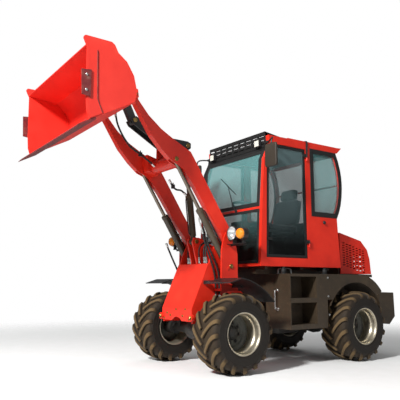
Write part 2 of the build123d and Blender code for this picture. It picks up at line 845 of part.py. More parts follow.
def rear_fenders():
    """Flat skirt with its wheel arch, the arch sheet over the tyre and the inner wall."""
    with BuildPart() as skirts:
        with BuildSketch(side_plane(SKIRT_Y)) as plate:
            with BuildLine():
                foot = Line((-410, BOX_LOW), (BOX_REAR, BOX_LOW))
                up = Line(foot @ 1, (BOX_REAR, BOX_TOP))
                top = Line(up @ 1, (-960, BOX_TOP))
                tail = ThreePointArc(top @ 1, (-1205, 930), (-1378, 785))
                Line(tail @ 1, (-1200, 700))
                Line((-1200, 700), (-410, 700))
                Line((-410, 700), foot @ 0)
            make_face()
            with Locations((REAR_X, AXLE_Z)):
                Circle(ARCH_R, mode=Mode.SUBTRACT)
        extrude(plate.sketch, amount=SKIRT_THICK)
        extrude(arch_face(ARCH_R, ARCH_R + SKIRT_THICK, 28, 152, SKIRT_Y), amount=SKIRT_Y - BEAM_Y)
        with BuildSketch(side_plane(BEAM_Y + SKIRT_THICK)) as wall:
            with Locations((REAR_X, AXLE_Z)):
                Circle(ARCH_R + SKIRT_THICK / 2)
            with Locations((REAR_X, 640 - ARCH_R)):
                Rectangle(3 * ARCH_R, 2 * ARCH_R, mode=Mode.SUBTRACT)
        extrude(wall.sketch, amount=SKIRT_THICK)
        mirror(about=Plane.XZ)
    keep(skirts.part, "rear_fenders")


def grab_bar(points):
    """A bent round bar through the points, rounded at its corners."""
    with BuildLine() as route:
        FilletPolyline(*points, radius=2 * HANDLE_R)
    start = Plane(origin=points[0], z_dir=Vector(*points[1]) - Vector(*points[0]))
    with BuildSketch(start) as section:
        Circle(HANDLE_R)
    sweep(section.sketch, path=route.line)


def step_boxes():
    """Box on each side below the cab, open outwards with two steps."""
    middle = (BOX_LOW + STEP_THICK + BOX_TOP - 30) / 2
    steps = (
        (BOX_LOW + STEP_THICK, middle - STEP_THICK / 2),
        (middle + STEP_THICK / 2, BOX_TOP - 30),
    )
    with BuildPart() as boxes:
        block(BOX_REAR, BOX_FRONT, BEAM_Y, SKIRT_Y, BOX_LOW, BOX_TOP)
        for low, high in steps:
            block(BOX_REAR + 8, BOX_FRONT - 8, SKIRT_Y - STEP_DEEP, SKIRT_Y + 1, low, high, Mode.SUBTRACT)
        # grab bar on the front face
        inside = BOX_FRONT - 5
        out = BOX_FRONT + HANDLE_OUT
        grab_bar([(inside, 493, 805), (out, 493, 805), (out, 493, 604), (inside, 493, 604)])
        mirror(about=Plane.XZ)
    keep(boxes.part, "step_boxes")


# Cab
def cab_outline():
    """The cab's side view: leaning front pillar and a rear edge that bulges back."""
    with BuildLine() as line:
        Polyline(
            (-787, CAB_FLOOR),
            (472, CAB_FLOOR),
            (440, 1700),
            (398, 2249),
            (330, 2390),
            (318, CAB_TOP),
            (-759, CAB_TOP),
        )
        ThreePointArc((-759, CAB_TOP), (-862, 2050), (-752, 1655))
        Line((-752, 1655), (-787, CAB_FLOOR))
    return line.line


def upright_pin(low, high, radius, mode=Mode.ADD):
    """A round pin on the door's hinge line."""
    with BuildSketch(Plane.XY.offset(low)) as section:
        with Locations((HINGE_X, HINGE_Y)):
            Circle(radius)
    extrude(section.sketch, amount=high - low, mode=mode)


def cab_frame():
    with BuildPart() as cab:
        with BuildSketch(side_plane(CAB_HALF_W)) as side:
            with BuildLine():
                add(cab_outline())
            make_face()
            with BuildLine():
                Polyline(
                    (DOOR_REAR, DOOR_LOW),
                    (DOOR_FRONT, DOOR_LOW),
                    (360, 2198),
                    (275, DOOR_HIGH),
                    (DOOR_REAR, DOOR_HIGH),
                    close=True,
                )
            make_face(mode=Mode.SUBTRACT)
            with BuildLine():
                Polyline((-720, 2425), (-330, 2425), (-330, 1655 + 30), (-720, 1655 + 30))
                ThreePointArc((-720, 1685), (-812, 2050), (-720, 2425))
            make_face(mode=Mode.SUBTRACT)
        extrude(side.sketch, amount=CAB_WALL)
        mirror(about=Plane.XZ)
        # hinge leaves and knuckles beside the door
        for z in HINGES:
            block(HINGE_X - 45, HINGE_X, CAB_HALF_W, CAB_HALF_W + 8, z, z + 40)
            upright_pin(z, z + 40, HINGE_R)
            upright_pin(z + 40, z + 80, HINGE_R - 4)
        # floor, lower back wall and cross bars
        block(-787, 466, -CAB_INSIDE, CAB_INSIDE, CAB_FLOOR, CAB_FLOOR + FLOOR_THICK)
        block(-780, -752, -CAB_INSIDE, CAB_INSIDE, CAB_FLOOR, 1655)
        block(412, 440, -CAB_INSIDE, CAB_INSIDE, 1690, 1715)
        header = [(318, CAB_TOP), (330, 2390), (341, 2366), (300, 2366), (285, CAB_TOP)]
        slab(header, -CAB_INSIDE, CAB_INSIDE)
        block(-770, -740, -CAB_INSIDE, CAB_INSIDE, 2420, CAB_TOP)
    keep(cab.part, "cab_frame")


def cab_roof():
    with BuildPart() as roof:
        profile = [
            (318, CAB_TOP),
            (322, CAB_TOP + ROOF_THICK - GUARD_STEP),
            (GUARD_REAR, CAB_TOP + ROOF_THICK - GUARD_STEP),
            (GUARD_REAR, CAB_TOP + ROOF_THICK),
            (-800, CAB_TOP + ROOF_THICK),
            (-880, CAB_TOP + ROOF_THICK + 4),
            (-800, CAB_TOP),
        ]
        slab(profile, -CAB_HALF_W, CAB_HALF_W)
    keep(roof.part, "cab_roof")


def roof_guard():
    """Black slotted guard over the front edge of the roof."""
    half = 530
    top = CAB_TOP + ROOF_THICK - GUARD_STEP
    with BuildPart() as guard:
        profile = [
            (332, 2395),
            (332, top + 38),
            (GUARD_REAR, top),
            (GUARD_REAR, top + 6),
            (340, top + 46),
            (340, 2395),
        ]
        slab(profile, -half, half)
        for row in range(3):
            for number in range(9):
                y = -half + 60 + number * (2 * half - 120) / 8
                low = 2425 + row * 48
                block(320, 350, y - 45, y + 45, low, low + 18, mode=Mode.SUBTRACT)
    keep(guard.part, "roof_guard")


def work_lamps():
    with BuildPart() as lamps:
        for side in (1, -1):
            block(340, 385, side * 385, side * 475, 2405, 2490)
    keep(lamps.part, "work_lamps")


def cab_glass():
    with BuildPart() as glass:
        front = [(440, 1715), (398, 2249), (341, 2366), (335, 2366), (391, 2249), (433, 1715)]
        slab(front, -CAB_INSIDE, CAB_INSIDE)
        low = CAB_FLOOR + FLOOR_THICK
        lower = [(464, low), (440, 1690), (434, 1690), (458, low)]
        slab(lower, -CAB_INSIDE, CAB_INSIDE)
        with BuildSketch(side_plane(CAB_INSIDE)) as rear:
            with BuildLine():
                ThreePointArc((-764, 2420), (-856, 2050), (-758, 1655))
                offset(amount=GLASS, side=Side.LEFT)
            make_face()
        extrude(rear.sketch, amount=2 * CAB_INSIDE)
        for side in (1, -1):
            with BuildSketch(side_plane(side * (CAB_HALF_W - 17) + GLASS / 2)) as pane:
                with BuildLine():
                    Polyline((-720, 2425), (-330, 2425), (-330, 1685), (-720, 1685))
                    ThreePointArc((-720, 1685), (-812, 2050), (-720, 2425))
                make_face()
            extrude(pane.sketch, amount=GLASS)
        with BuildSketch(side_plane(-(CAB_HALF_W - 17) + GLASS / 2)) as pane:
            with BuildLine():
                Polyline(
                    (DOOR_REAR, DOOR_LOW),
                    (DOOR_FRONT, DOOR_LOW),
                    (360, 2198),
                    (275, DOOR_HIGH),
                    (DOOR_REAR, DOOR_HIGH),
                    close=True,
                )
            make_face()
        extrude(pane.sketch, amount=GLASS)
    keep(glass.part, "cab_glass")


def door():
    outer = [
        (DOOR_REAR + GAP, DOOR_LOW + GAP),
        (DOOR_FRONT - GAP, DOOR_LOW + GAP),
        (360 - GAP, 2196),
        (275 - GAP, DOOR_HIGH - GAP),
        (DOOR_REAR + GAP, DOOR_HIGH - GAP),
    ]
    with BuildPart() as frame:
        with BuildSketch(side_plane(CAB_HALF_W - 4)) as ring:
            with BuildLine():
                Polyline(*outer, close=True)
            make_face()
            offset(amount=-DOOR_FRAME, mode=Mode.SUBTRACT)
        extrude(ring.sketch, amount=24)
        for z in HINGES:
            upright_pin(z + 41, z + 80, HINGE_R)
            block(HINGE_X, DOOR_REAR + GAP + 20, HINGE_Y - 5, HINGE_Y + 5, z + 41, z + 80)
            block(DOOR_REAR + GAP, DOOR_REAR + GAP + 20, CAB_HALF_W - 4, HINGE_Y, z + 41, z + 80)
            upright_pin(z + 41, z + 80, HINGE_R - 4 + PIN_GAP, mode=Mode.SUBTRACT)
        block(DOOR_FRONT - 70, DOOR_FRONT - 20, CAB_HALF_W - 4, CAB_HALF_W + 25, 1350, 1375)
    keep(frame.part, "door")
    with BuildPart() as pane:
        with BuildSketch(side_plane(CAB_HALF_W - 12)) as clear:
            with BuildLine():
                Polyline(*outer, close=True)
            make_face()
            offset(amount=-DOOR_FRAME, mode=Mode.REPLACE)
        extrude(clear.sketch, amount=GLASS)
    keep(pane.part, "door_glass")


def mirrors():
    with BuildPart() as pair:
        for side in (1, -1):
            block(400, 430, side * 620, side * 800, 2130, 2390)
            block(360, 400, side * CAB_HALF_W, side * 760, 2300, 2320)
    keep(pair.part, "mirrors")


def seat():
    with BuildPart() as chair:
        block(-480, 0, -240, 240, 1490, 1590)
        back = [(-480, 1590), (-380, 1590), (-470, 2060), (-560, 2060)]
        slab(back, -230, 230)
        block(-430, -50, -180, 180, CAB_FLOOR + FLOOR_THICK, 1490)
    keep(chair.part, "seat")


def steering_column():
    foot = (330, CAB_FLOOR + FLOOR_THICK)
    top = (180, 1780)
    with BuildPart() as column:
        slab([(250, foot[1]), (420, foot[1]), (330, 1600), (250, 1600)], -110, 110)
        round_bar(foot, top, 480, math.dist(foot, top), 25)
        with BuildSketch(line_plane(foot, top, math.dist(foot, top))) as ring:
            Circle(185)
            Circle(163, mode=Mode.SUBTRACT)
            Rectangle(340, 24)
            Circle(35)
        extrude(ring.sketch, amount=22)
    keep(column.part, "steering_column")


# Hood
def slit_places():
    """The middles of the slits in the hood's sides, rows that fall to the rear below its top edge."""
    places = []
    x = GRILLE_TOP[0] - SLIT_LONG / 2
    while x - SLIT_LONG / 2 > GRILLE_REAR:
        back = GRILLE_TOP[0] - x
        z = GRILLE_TOP[1] - GRILLE_FALL * back
        while z > GRILLE_LOW[1] - GRILLE_FALL * back:
            places.append((x, 0, z))
            z -= SLIT_ROW
        x -= SLIT_STEP
    return places


def hood():
    outline = [
        (HOOD_FRONT, HOOD_LOW),
        (HOOD_FRONT, 1505),
        (-1327, 1418),
        (-1445, 1308),
        (-1486, 1194),
        (-1508, HOOD_LOW),
    ]
    inner = [
        (HOOD_FRONT + 1, HOOD_LOW - 1),
        (HOOD_FRONT + 1, 1493),
        (-1320, 1406),
        (-1434, 1300),
        (-1474, 1190),
        (-1496, HOOD_LOW - 1),
    ]
    with BuildPart() as lid:
        slab(outline, -HOOD_HALF_W, HOOD_HALF_W)
        slab(inner, -HOOD_HALF_W + HOOD_WALL, HOOD_HALF_W - HOOD_WALL, mode=Mode.SUBTRACT)
        with Locations(*slit_places()):
            Box(SLIT_LONG, 2 * HOOD_HALF_W + 2, SLIT_HIGH, mode=Mode.SUBTRACT)
        # wider slits in the rear face
        rows = [HOOD_LOW + 50 + number * 2 * SLIT_ROW for number in range(4)]
        with Locations(*[(-1490, y, z) for z in rows for y in (-270, -90, 90, 270)]):
            Box(60, 150, SLIT_HIGH + 5, mode=Mode.SUBTRACT)
        strap = [(-960, 1494), (-960, 1503), (-922, 1518), (-916, 1502)]
        for side in (1, -1):
            slab(strap, side * 262, side * 344)
            cross_pin(HOOD_HINGE, HOOD_HINGE_R + 6, side * 262, side * 344)
            cross_pin(HOOD_HINGE, HOOD_HINGE_R + PIN_GAP, side * 262, side * 344, mode=Mode.SUBTRACT)
    keep(lid.part, "hood")


def engine_deck():
    """Fixed deck around the engine bay that the hood closes on."""
    with BuildPart() as deck:
        block(-1520, -940, 260, HOOD_HALF_W, 960, 994)
        block(-1520, -1490, -260, 260, 960, 994)
        block(-940, -905, -HOOD_HALF_W, HOOD_HALF_W, 960, 994)
        # bulkhead between the cab and the engine, with the hood's hinge on its top edge
        block(-920, -908, -430, 430, 990, 1485)
        tab = [(-920, 1480), (-908, 1480), (-906, 1516), (-922, 1516)]
        for y in (240, 350):
            slab(tab, y, y + 16)
        cross_pin(HOOD_HINGE, HOOD_HINGE_R, 240, 366)
        block(-1480, -1420, BEAM_Y - BEAM_PLATE, BEAM_Y, 700, 960)
        block(-990, -940, BEAM_Y - BEAM_PLATE, BEAM_Y, BEAM_HIGH, 960)
        mirror(about=Plane.XZ)
    keep(deck.part, "engine_deck")


def headlamps():
    centre = (820, 1400)
    with BuildPart() as housings:
        for side in (1, -1):
            for y, radius in ((510, 78), (655, 60)):
                with BuildSketch(Plane.YZ.offset(740)) as can:
                    with Locations((side * y, centre[1])):
                        Circle(radius)
                extrude(can.sketch, amount=70)
            block(745, 800, side * TOWER_OUTER_Y, side * 670, 1285, 1300)
            block(745, 800, side * 500, side * 520, 1300, 1330)
            block(745, 800, side * 645, side * 665, 1300, 1345)
    keep(housings.part, "headlamps")
    with BuildPart() as lenses:
        for side in (1, -1):
            with BuildSketch(Plane.YZ.offset(810)) as face:
                with Locations((side * 510, centre[1])):
                    Circle(72)
            extrude(face.sketch, amount=12)
    keep(lenses.part, "headlamp_lenses")
    with BuildPart() as ambers:
        for side in (1, -1):
            with BuildSketch(Plane.YZ.offset(810)) as face:
                with Locations((side * 655, centre[1])):
                    Circle(54)
            extrude(face.sketch, amount=16)
    keep(ambers.part, "indicator_lenses")


front_frame()
front_cover()
axle(FRONT_X, "front_axle", TOWER_INNER_Y, BALL_R + GAP)
axle(REAR_X, "rear_axle", BEAM_Y, GEARBOX_REAR)
wheels()
front_fenders()
headlamps()
boom()
lift_barrels()
lift_rods()
tilt_barrel()
tilt_rod()
bellcrank()
tilt_link()
coupler()
bucket()
cutting_edge()
rear_frame()
counterweight()
engine()
driveline()
rear_fenders()
step_boxes()
engine_deck()
cab_frame()
cab_roof()
roof_guard()
work_lamps()
cab_glass()
door()
mirrors()
seat()
steering_column()
hood()

# The origin goes to the middle of the machine's length, on the ground
reach = [piece.bounding_box() for piece in pieces]
MIDDLE_X = (min(box.min.X for box in reach) + max(box.max.X for box in reach)) / 2

if __name__ == "__main__":
    for piece in pieces:
        placed = piece.moved(Location((-MIDDLE_X, 0, 0)))
        placed.label = piece.label
        export_step(placed, f"parts/{piece.label}.step")
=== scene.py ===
# %% [markdown]
# # A compact wheel loader, dressed from its CAD frame
# The CAD part gives every solid its size, place and joints. This file gives it its looks. A CAD piece can
# be given a finish and kept, or hidden behind a better surface of the same form. Flat welded plates are
# kept, because they look right as they are. Tyres, rims, lamps, mirrors and the seat are made again,
# because a curved or padded thing shows its facets and lacks its small steps.

# %% Load the frame
import math

import bmesh
import bpy
import mathutils
import numpy as np
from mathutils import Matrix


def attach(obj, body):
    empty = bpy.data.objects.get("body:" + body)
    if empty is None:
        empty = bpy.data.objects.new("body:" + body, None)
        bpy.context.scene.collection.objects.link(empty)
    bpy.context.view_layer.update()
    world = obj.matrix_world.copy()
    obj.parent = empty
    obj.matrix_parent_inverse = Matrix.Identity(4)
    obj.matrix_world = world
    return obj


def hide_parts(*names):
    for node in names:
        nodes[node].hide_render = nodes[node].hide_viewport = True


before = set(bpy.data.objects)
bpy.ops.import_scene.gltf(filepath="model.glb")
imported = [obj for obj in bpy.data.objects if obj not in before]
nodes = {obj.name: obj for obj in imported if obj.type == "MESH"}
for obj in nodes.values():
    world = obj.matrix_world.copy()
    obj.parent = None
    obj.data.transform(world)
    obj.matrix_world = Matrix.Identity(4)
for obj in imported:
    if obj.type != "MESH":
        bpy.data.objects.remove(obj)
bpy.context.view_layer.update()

# %% [markdown]
# ## Millimetres and metres
# The drawing is in millimetres, with X 0 at the upright pin where the machine bends. The frame is in metres
# and has its origin below the middle of the whole length. One function carries points from the first to the
# second, so that every number below can be read off the drawing.

# %% From the drawing to the scene
SHIFT = (365.1375, 0, 0)
AXLE_Z = 393.5
WHEEL_AT = {
    "front_left": (900, 625, 1),
    "front_right": (900, -625, -1),
    "rear_left": (-900, 625, 1),
    "rear_right": (-900, -625, -1),
}


def metres(points):
    """Drawing millimetres to scene metres: (point - SHIFT) / 1000."""
    return (np.asarray(points, float) - SHIFT) / 1000


print("tail at", metres((-1950, 0, 400)), "m")

# %% [markdown]
# ## Surfaces from a grid
# Nearly every new piece is a grid of points whose neighbours are joined by quads. A turned part is a
# profile carried round an axle, and a hose or bar is a ring carried along a path. Both can be worked out
# with numpy as whole arrays, which is short and gives the same mesh every time. Blender's own Spin and
# curve bevel would do too, but then the place and the closing of each end are harder to check.


# %% Grids, turned profiles and tubes
def skin(grid, around=True, looped=False, capped=True):
    """Quads over an (m, n) grid of points: (i, j) to (i+1, j+1). around joins the last column to the first,
    looped the last row to the first, and capped closes both end rows."""
    grid = np.asarray(grid, float)
    ids = np.arange(grid.shape[0] * grid.shape[1]).reshape(grid.shape[:2])
    rows = np.vstack([ids, ids[:1]]) if looped else ids
    rows = np.hstack([rows, rows[:, :1]]) if around else rows
    quads = np.stack([rows[:-1, :-1], rows[:-1, 1:], rows[1:, 1:], rows[1:, :-1]], -1).reshape(-1, 4).tolist()
    if capped and not looped:
        quads += [ids[0].tolist()[::-1], ids[-1].tolist()]
    return grid.reshape(-1, 3), quads


def unit(vector):
    """A vector, or each row of an array of them, divided by its own length."""
    vector = np.asarray(vector, float)
    return vector / np.linalg.norm(vector, axis=-1, keepdims=True)


def turned(profile, centre, axis, steps=48, looped=False):
    """A profile of (radius, height) turned round an axis: centre + height k + radius (u cos a + v sin a)."""
    k = unit(axis)
    u = unit(np.cross(k, (0, 0, 1) if abs(k[2]) < 0.9 else (1, 0, 0)))
    v = np.cross(k, u)
    radius, height = np.asarray(profile, float).T
    a = np.linspace(0, 2 * np.pi, steps, endpoint=False)
    ring = u * np.cos(a)[:, None] + v * np.sin(a)[:, None]
    grid = np.asarray(centre, float) + height[:, None, None] * k + radius[:, None, None] * ring[None]
    return skin(grid, looped=looped)


def eased(points, rounds=3):
    """A path with its corners cut: each round puts points at 1/4 and 3/4 of every run and keeps both ends."""
    path = np.asarray(points, float)
    for _ in range(rounds):
        first = path[:-1] * 0.75 + path[1:] * 0.25
        last = path[:-1] * 0.25 + path[1:] * 0.75
        path = np.vstack([path[:1], np.stack([first, last], 1).reshape(-1, path.shape[1]), path[-1:]])
    return path


def tube(path, radius, sides=10, beside=(0, 1, 0)):
    """A round tube along a path: point + radius (n cos a + b sin a), n square to the run and to beside."""
    path = np.asarray(path, float)
    run = unit(np.gradient(path, axis=0))
    n = unit(np.cross(run, beside))
    b = np.cross(run, n)
    a = np.linspace(0, 2 * np.pi, sides, endpoint=False)
    radius = np.broadcast_to(radius, len(path))[:, None, None]
    return skin(path[:, None] + radius * (n[:, None] * np.cos(a)[:, None] + b[:, None] * np.sin(a)[:, None]))


def bar(x0, x1, y0, y1, z0, z1):
    """A straight bar between two corners, as two rings of four points. Its edges are rounded by a bevel."""
    square = np.array([(y0, z0), (y1, z0), (y1, z1), (y0, z1)], float)
    return skin([[(x, y, z) for y, z in square] for x in (x0, x1)])


print("a test ring has", len(turned([(10, 0), (10, 5)], (0, 0, 0), (0, 0, 1))[0]), "points")

# %% [markdown]
# ## Flat frames and small screws
# Window rubber is a flat ring whose inner edge runs a fixed width inside its outer edge. A mitre does that:
# each corner moves along the sum of its two edge normals. Screws and nuts are the same turned profile with
# six steps.


# %% Rings along an outline and hexagon heads
def inset(outline, width):
    """An outline of (u, v) points moved inwards by a width, each corner along (n1 + n2) / (1 + n1.n2)."""
    outline = np.asarray(outline, float)
    run = unit(np.roll(outline, -1, axis=0) - outline)
    normal = np.stack([-run[:, 1], run[:, 0]], 1)
    before = np.roll(normal, 1, axis=0)
    move = (normal + before) / (1 + np.sum(normal * before, axis=1, keepdims=True))
    area = np.sum(outline[:, 0] * np.roll(outline[:, 1], -1) - outline[:, 1] * np.roll(outline[:, 0], -1))
    return outline + move * width * np.sign(area)


def flat_ring(outline, width, y0, y1):
    """A frame of a side outline (x, z) and a width, between two Y planes: four rings joined round."""
    inner = inset(outline, width)
    corners = [(outline, y0), (outline, y1), (inner, y1), (inner, y0)]
    rings = [np.insert(np.asarray(line, float), 1, y, axis=1) for line, y in corners]
    return skin(rings, looped=True)


def hexagons(places, axis, across=24, height=12):
    """Hexagon heads on washers at a list of points, standing along an axis."""
    profile = [
        (across * 0.85, 0), (across * 0.85, 2), (across / 2, 2), (across / 2, height),
        (across * 0.42, height + 2)
    ]
    return [turned(profile, place, axis, steps=6) for place in places]


def domes(places, axis, radius=14, height=7):
    """Low round heads at a list of points, standing along an axis: radius cos a, height sin a."""
    a = np.linspace(0, math.radians(75), 5)
    profile = np.stack([radius * np.cos(a), height * np.sin(a)], 1)
    return [turned(np.vstack([[radius, -3], profile]), place, axis, steps=14) for place in places]


print("inset of a 10 mm square by 1 mm:", inset([(0, 0), (10, 0), (10, 10), (0, 10)], 1).tolist())

# %% [markdown]
# ## One way to make a piece
# A piece joins its parts into one mesh, takes a finish, rides on the body that carries it and, where it has
# one, stands for its CAD node. Normals are worked out again, because a profile can run either way round. A
# bevel gives plate edges the thin bright line that a pressed or sawn edge has.


# %% The maker of pieces
def piece(name, body, finish, parts, bevel=0, stands_for=(), crease=35, marks=None):
    """Join (points, faces) parts in drawing millimetres into one object at the origin."""
    points, faces, base = [], [], 0
    for part_points, part_faces in parts:
        points.append(metres(part_points))
        faces += [[i + base for i in face] for face in part_faces]
        base += len(part_points)
    mesh = bpy.data.meshes.new(name)
    mesh.from_pydata(np.vstack(points).tolist(), [], faces)
    if marks is not None:
        mesh.attributes.new("dust", "FLOAT", "POINT").data.foreach_set(
            "value", np.concatenate(marks).astype(np.float32)
        )
    work = bmesh.new()
    work.from_mesh(mesh)
    bmesh.ops.recalc_face_normals(work, faces=work.faces)
    work.to_mesh(mesh)
    work.free()
    mesh.shade_smooth()
    mesh.set_sharp_from_angle(angle=math.radians(crease))
    mesh.materials.append(finish)
    made = bpy.data.objects.new(name, mesh)
    bpy.context.scene.collection.objects.link(made)
    if bevel:
        edge = made.modifiers.new("edge", "BEVEL")
        edge.width, edge.segments = bevel / 1000, 2
        edge.limit_method, edge.angle_limit = "ANGLE", math.radians(40)
    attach(made, body)
    if stands_for:
        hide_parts(*stands_for)
    print(f"{name}: {len(mesh.polygons)} faces")
    return made


# %% [markdown]
# ## Colours and nodes
# Paint makers give colours as the eye sees them, in sRGB, while the shader adds up light, so each colour is
# made linear once. One small function adds a node with its own settings, socket values and links.


# %% Linear colours and one node helper
def linear(code):
    """An sRGB hex colour as linear RGBA: c / 12.92 below 0.04045, else ((c + 0.055) / 1.055) ^ 2.4."""
    c = np.array([int(code[i : i + 2], 16) for i in (1, 3, 5)]) / 255
    return (*np.where(c <= 0.04045, c / 12.92, ((c + 0.055) / 1.055) ** 2.4), 1.0)


def add(tree, kind, values=None, links=None, stops=(), **settings):
    """Add one node: settings are its properties, values its socket values, links its socket sources, and
    stops the (place, sRGB hex) marks of a colour ramp."""
    made = tree.nodes.new(kind)
    for key, value in settings.items():
        setattr(made, key, value)
    for key, value in (values or {}).items():
        made.inputs[key].default_value = value
    for key, source in (links or {}).items():
        tree.links.new(source, made.inputs[key])
    for number, (place, code) in enumerate(stops):
        marks = made.color_ramp.elements
        mark = marks[number] if number < len(marks) else marks.new(place)
        mark.position, mark.color = place, linear(code)
    return made


print("mid grey #808080 is", round(linear("#808080")[0], 3), "in light")

# %% [markdown]
# ## Sprayed machine paint
# Plates of such a machine are shot-blasted, primed and sprayed with two-pack enamel. The colour is even,
# but a sprayed coat lies in soft waves of a few millimetres, called orange peel, and dust dulls it in
# patches. So the recipe is: a large soft noise for patches of tone and dullness, a small one for the waves,
# and a thin clear shine on top. Image textures could show real stains, but a made pattern fits any piece
# and has no seams.


# %% A recipe for sprayed coats
def sprayed(
    name, tones, patch_mm=260, wave_mm=7, rough=(0.34, 0.5), wave=0.05, shine=0.25, grime=None, metallic=0.0
):
    """A coat: tones over soft patches, roughness between two values, waves of wave_mm and an optional grime
    colour."""
    finish = bpy.data.materials.new(name)
    finish.use_nodes = True
    tree = finish.node_tree
    shader = tree.nodes["Principled BSDF"]
    shader.inputs["Metallic"].default_value = metallic
    shader.inputs["Coat Weight"].default_value = shine
    shader.inputs["Coat Roughness"].default_value = 0.18
    where = add(tree, "ShaderNodeTexCoord").outputs["Object"]
    patches = add(
        tree, "ShaderNodeTexNoise", {"Scale": 1000 / patch_mm, "Detail": 5, "Roughness": 0.6},
        {"Vector": where}
    )
    colour = add(
        tree, "ShaderNodeValToRGB", links={"Fac": patches.outputs["Fac"]}, stops=tones
    ).outputs["Color"]
    if grime:
        fine = add(
            tree, "ShaderNodeTexNoise", {"Scale": 1000 / 38, "Detail": 8, "Roughness": 0.72},
            {"Vector": where}
        )
        share = add(
            tree, "ShaderNodeMapRange", {"From Min": 0.52, "From Max": 0.8, "To Max": 0.5},
            {"Value": fine.outputs["Fac"]}
        )
        colour = add(
            tree,
            "ShaderNodeMixRGB",
            {"Color2": linear(grime)},
            {"Fac": share.outputs["Result"], "Color1": colour},
        ).outputs["Color"]
    tree.links.new(colour, shader.inputs["Base Color"])
    dull = add(
        tree, "ShaderNodeMapRange", {"To Min": rough[0], "To Max": rough[1]},
        {"Value": patches.outputs["Fac"]}
    )
    tree.links.new(dull.outputs["Result"], shader.inputs["Roughness"])
    peel = add(tree, "ShaderNodeTexNoise", {"Scale": 1000 / wave_mm, "Detail": 2}, {"Vector": where})
    bump = add(tree, "ShaderNodeBump", {"Strength": wave, "Distance": 0.002}, {"Height": peel.outputs["Fac"]})
    tree.links.new(bump.outputs["Normal"], shader.inputs["Normal"])
    return finish


# Red two-pack enamel, sprayed: even orange-red with a soft gloss and faint dull patches.
red_enamel = sprayed("red_enamel", [(0.3, "#CF2412"), (0.55, "#DB2A15"), (0.75, "#E2321B")], shine=0.15)
# The same enamel on the bucket, where loads have rubbed it a little duller and paler.
rubbed_enamel = sprayed(
    "rubbed_red_enamel", [(0.3, "#D62A1E"), (0.6, "#DE3124"), (0.8, "#E33E2E")], rough=(0.42, 0.6),
    shine=0.05
)
# Chassis enamel, brown-black and matte, with road dust in its texture.
chassis_enamel = sprayed(
    "brown_black_chassis_enamel", [(0.3, "#2E2519"), (0.6, "#392D1F"), (0.8, "#463927")], rough=(0.42, 0.6),
    shine=0.05, grime="#5B4A33"
)
# Maroon primer on wear steel: dull, with bare brownish patches where the coat has gone.
maroon_edge = sprayed(
    "maroon_primer_on_wear_steel", [(0.35, "#5B1A1C"), (0.55, "#6E2224"), (0.75, "#7A4A3C")], patch_mm=70,
    rough=(0.45, 0.62), shine=0.0, grime="#8A7A68"
)
# Olive-brown cylinder enamel with oil film, a little glossier than the chassis.
cylinder_enamel = sprayed(
    "olive_brown_cylinder_enamel", [(0.3, "#332A1C"), (0.7, "#453A28")], patch_mm=90, rough=(0.32, 0.48),
    shine=0.2
)
# Black enamel on pressed sheet: satin, nearly even.
black_enamel = sprayed(
    "black_satin_enamel", [(0.3, "#121212"), (0.7, "#1C1B1A")], rough=(0.4, 0.52), shine=0.1
)
# Grey-black enamel on sand castings: the cast grain shows through as small bumps.
cast_enamel = sprayed(
    "grey_black_enamel_on_castings", [(0.3, "#1B1A18"), (0.7, "#2A2723")], patch_mm=120, wave_mm=5,
    rough=(0.5, 0.65), wave=0.25, shine=0.0, grime="#4D4235"
)
print("coats made:", [m.name for m in bpy.data.materials if m.name.endswith(("enamel", "castings", "steel"))])

# %% [markdown]
# ## Bare and plated metal
# A cylinder rod is ground and hard-chromed, wheel dishes are sprayed with aluminium paint, pins are
# zinc-plated and passivated yellow, and screws are bright zinc. They can share the recipe above with
# metallic set to 1, but a ground rod needs its fine marks to run round it, so it gets rings from a wave.

# %% Metals
# Aluminium wheel enamel, sprayed: grey-silver with a beige dust film.
wheel_silver = sprayed(
    "aluminium_wheel_enamel", [(0.3, "#B3A994"), (0.6, "#C6BDA9"), (0.8, "#D2CBBB")], patch_mm=60,
    rough=(0.3, 0.44), shine=0.1, grime="#8C7B60", metallic=0.85
)
# The same enamel deep in the dish, under grease and dust, and darkened further by painted shade for the depth
# of the barrel: dark grey-green, satin.
dusty_shaded_disc = sprayed(
    "greasy_aluminium_wheel_enamel_painted_shade", [(0.3, "#3A3B36"), (0.6, "#4B4B44"), (0.8, "#5A574C")], patch_mm=50,
    rough=(0.4, 0.58), shine=0.05, grime="#2C261D", metallic=0.4
)
# Yellow-passivated zinc on pins: brassy, satin.
brassy_zinc = sprayed(
    "yellow_passivated_zinc", [(0.3, "#8C7442"), (0.7, "#A98F5A")], patch_mm=30, rough=(0.3, 0.45),
    shine=0.0, metallic=1.0
)
# Bright zinc on screws and grab rails.
bright_zinc = sprayed(
    "bright_zinc_plate", [(0.3, "#B9BBBA"), (0.7, "#D2D3D0")], patch_mm=25, rough=(0.22, 0.36), shine=0.0,
    metallic=1.0
)


def ground_rod():
    """Ground, hard-chromed steel: rings a millimetre apart, drawn 3 mm apart so that they show."""
    finish = bpy.data.materials.new("ground_chromed_steel")
    finish.use_nodes = True
    tree = finish.node_tree
    shader = tree.nodes["Principled BSDF"]
    shader.inputs["Metallic"].default_value = 1.0
    where = add(tree, "ShaderNodeTexCoord").outputs["Object"]
    wave = add(
        tree, "ShaderNodeTexWave", {"Scale": 105, "Distortion": 1.5, "Detail": 2}, {"Vector": where},
        bands_direction="Z"
    )
    tone = add(
        tree, "ShaderNodeValToRGB", links={"Fac": wave.outputs["Fac"]},
        stops=[(0.2, "#6B6258"), (0.8, "#81776B")]
    )
    tree.links.new(tone.outputs["Color"], shader.inputs["Base Color"])
    dull = add(tree, "ShaderNodeMapRange", {"To Min": 0.2, "To Max": 0.34}, {"Value": wave.outputs["Fac"]})
    tree.links.new(dull.outputs["Result"], shader.inputs["Roughness"])
    return finish


rod_chrome = ground_rod()
print("metals made")
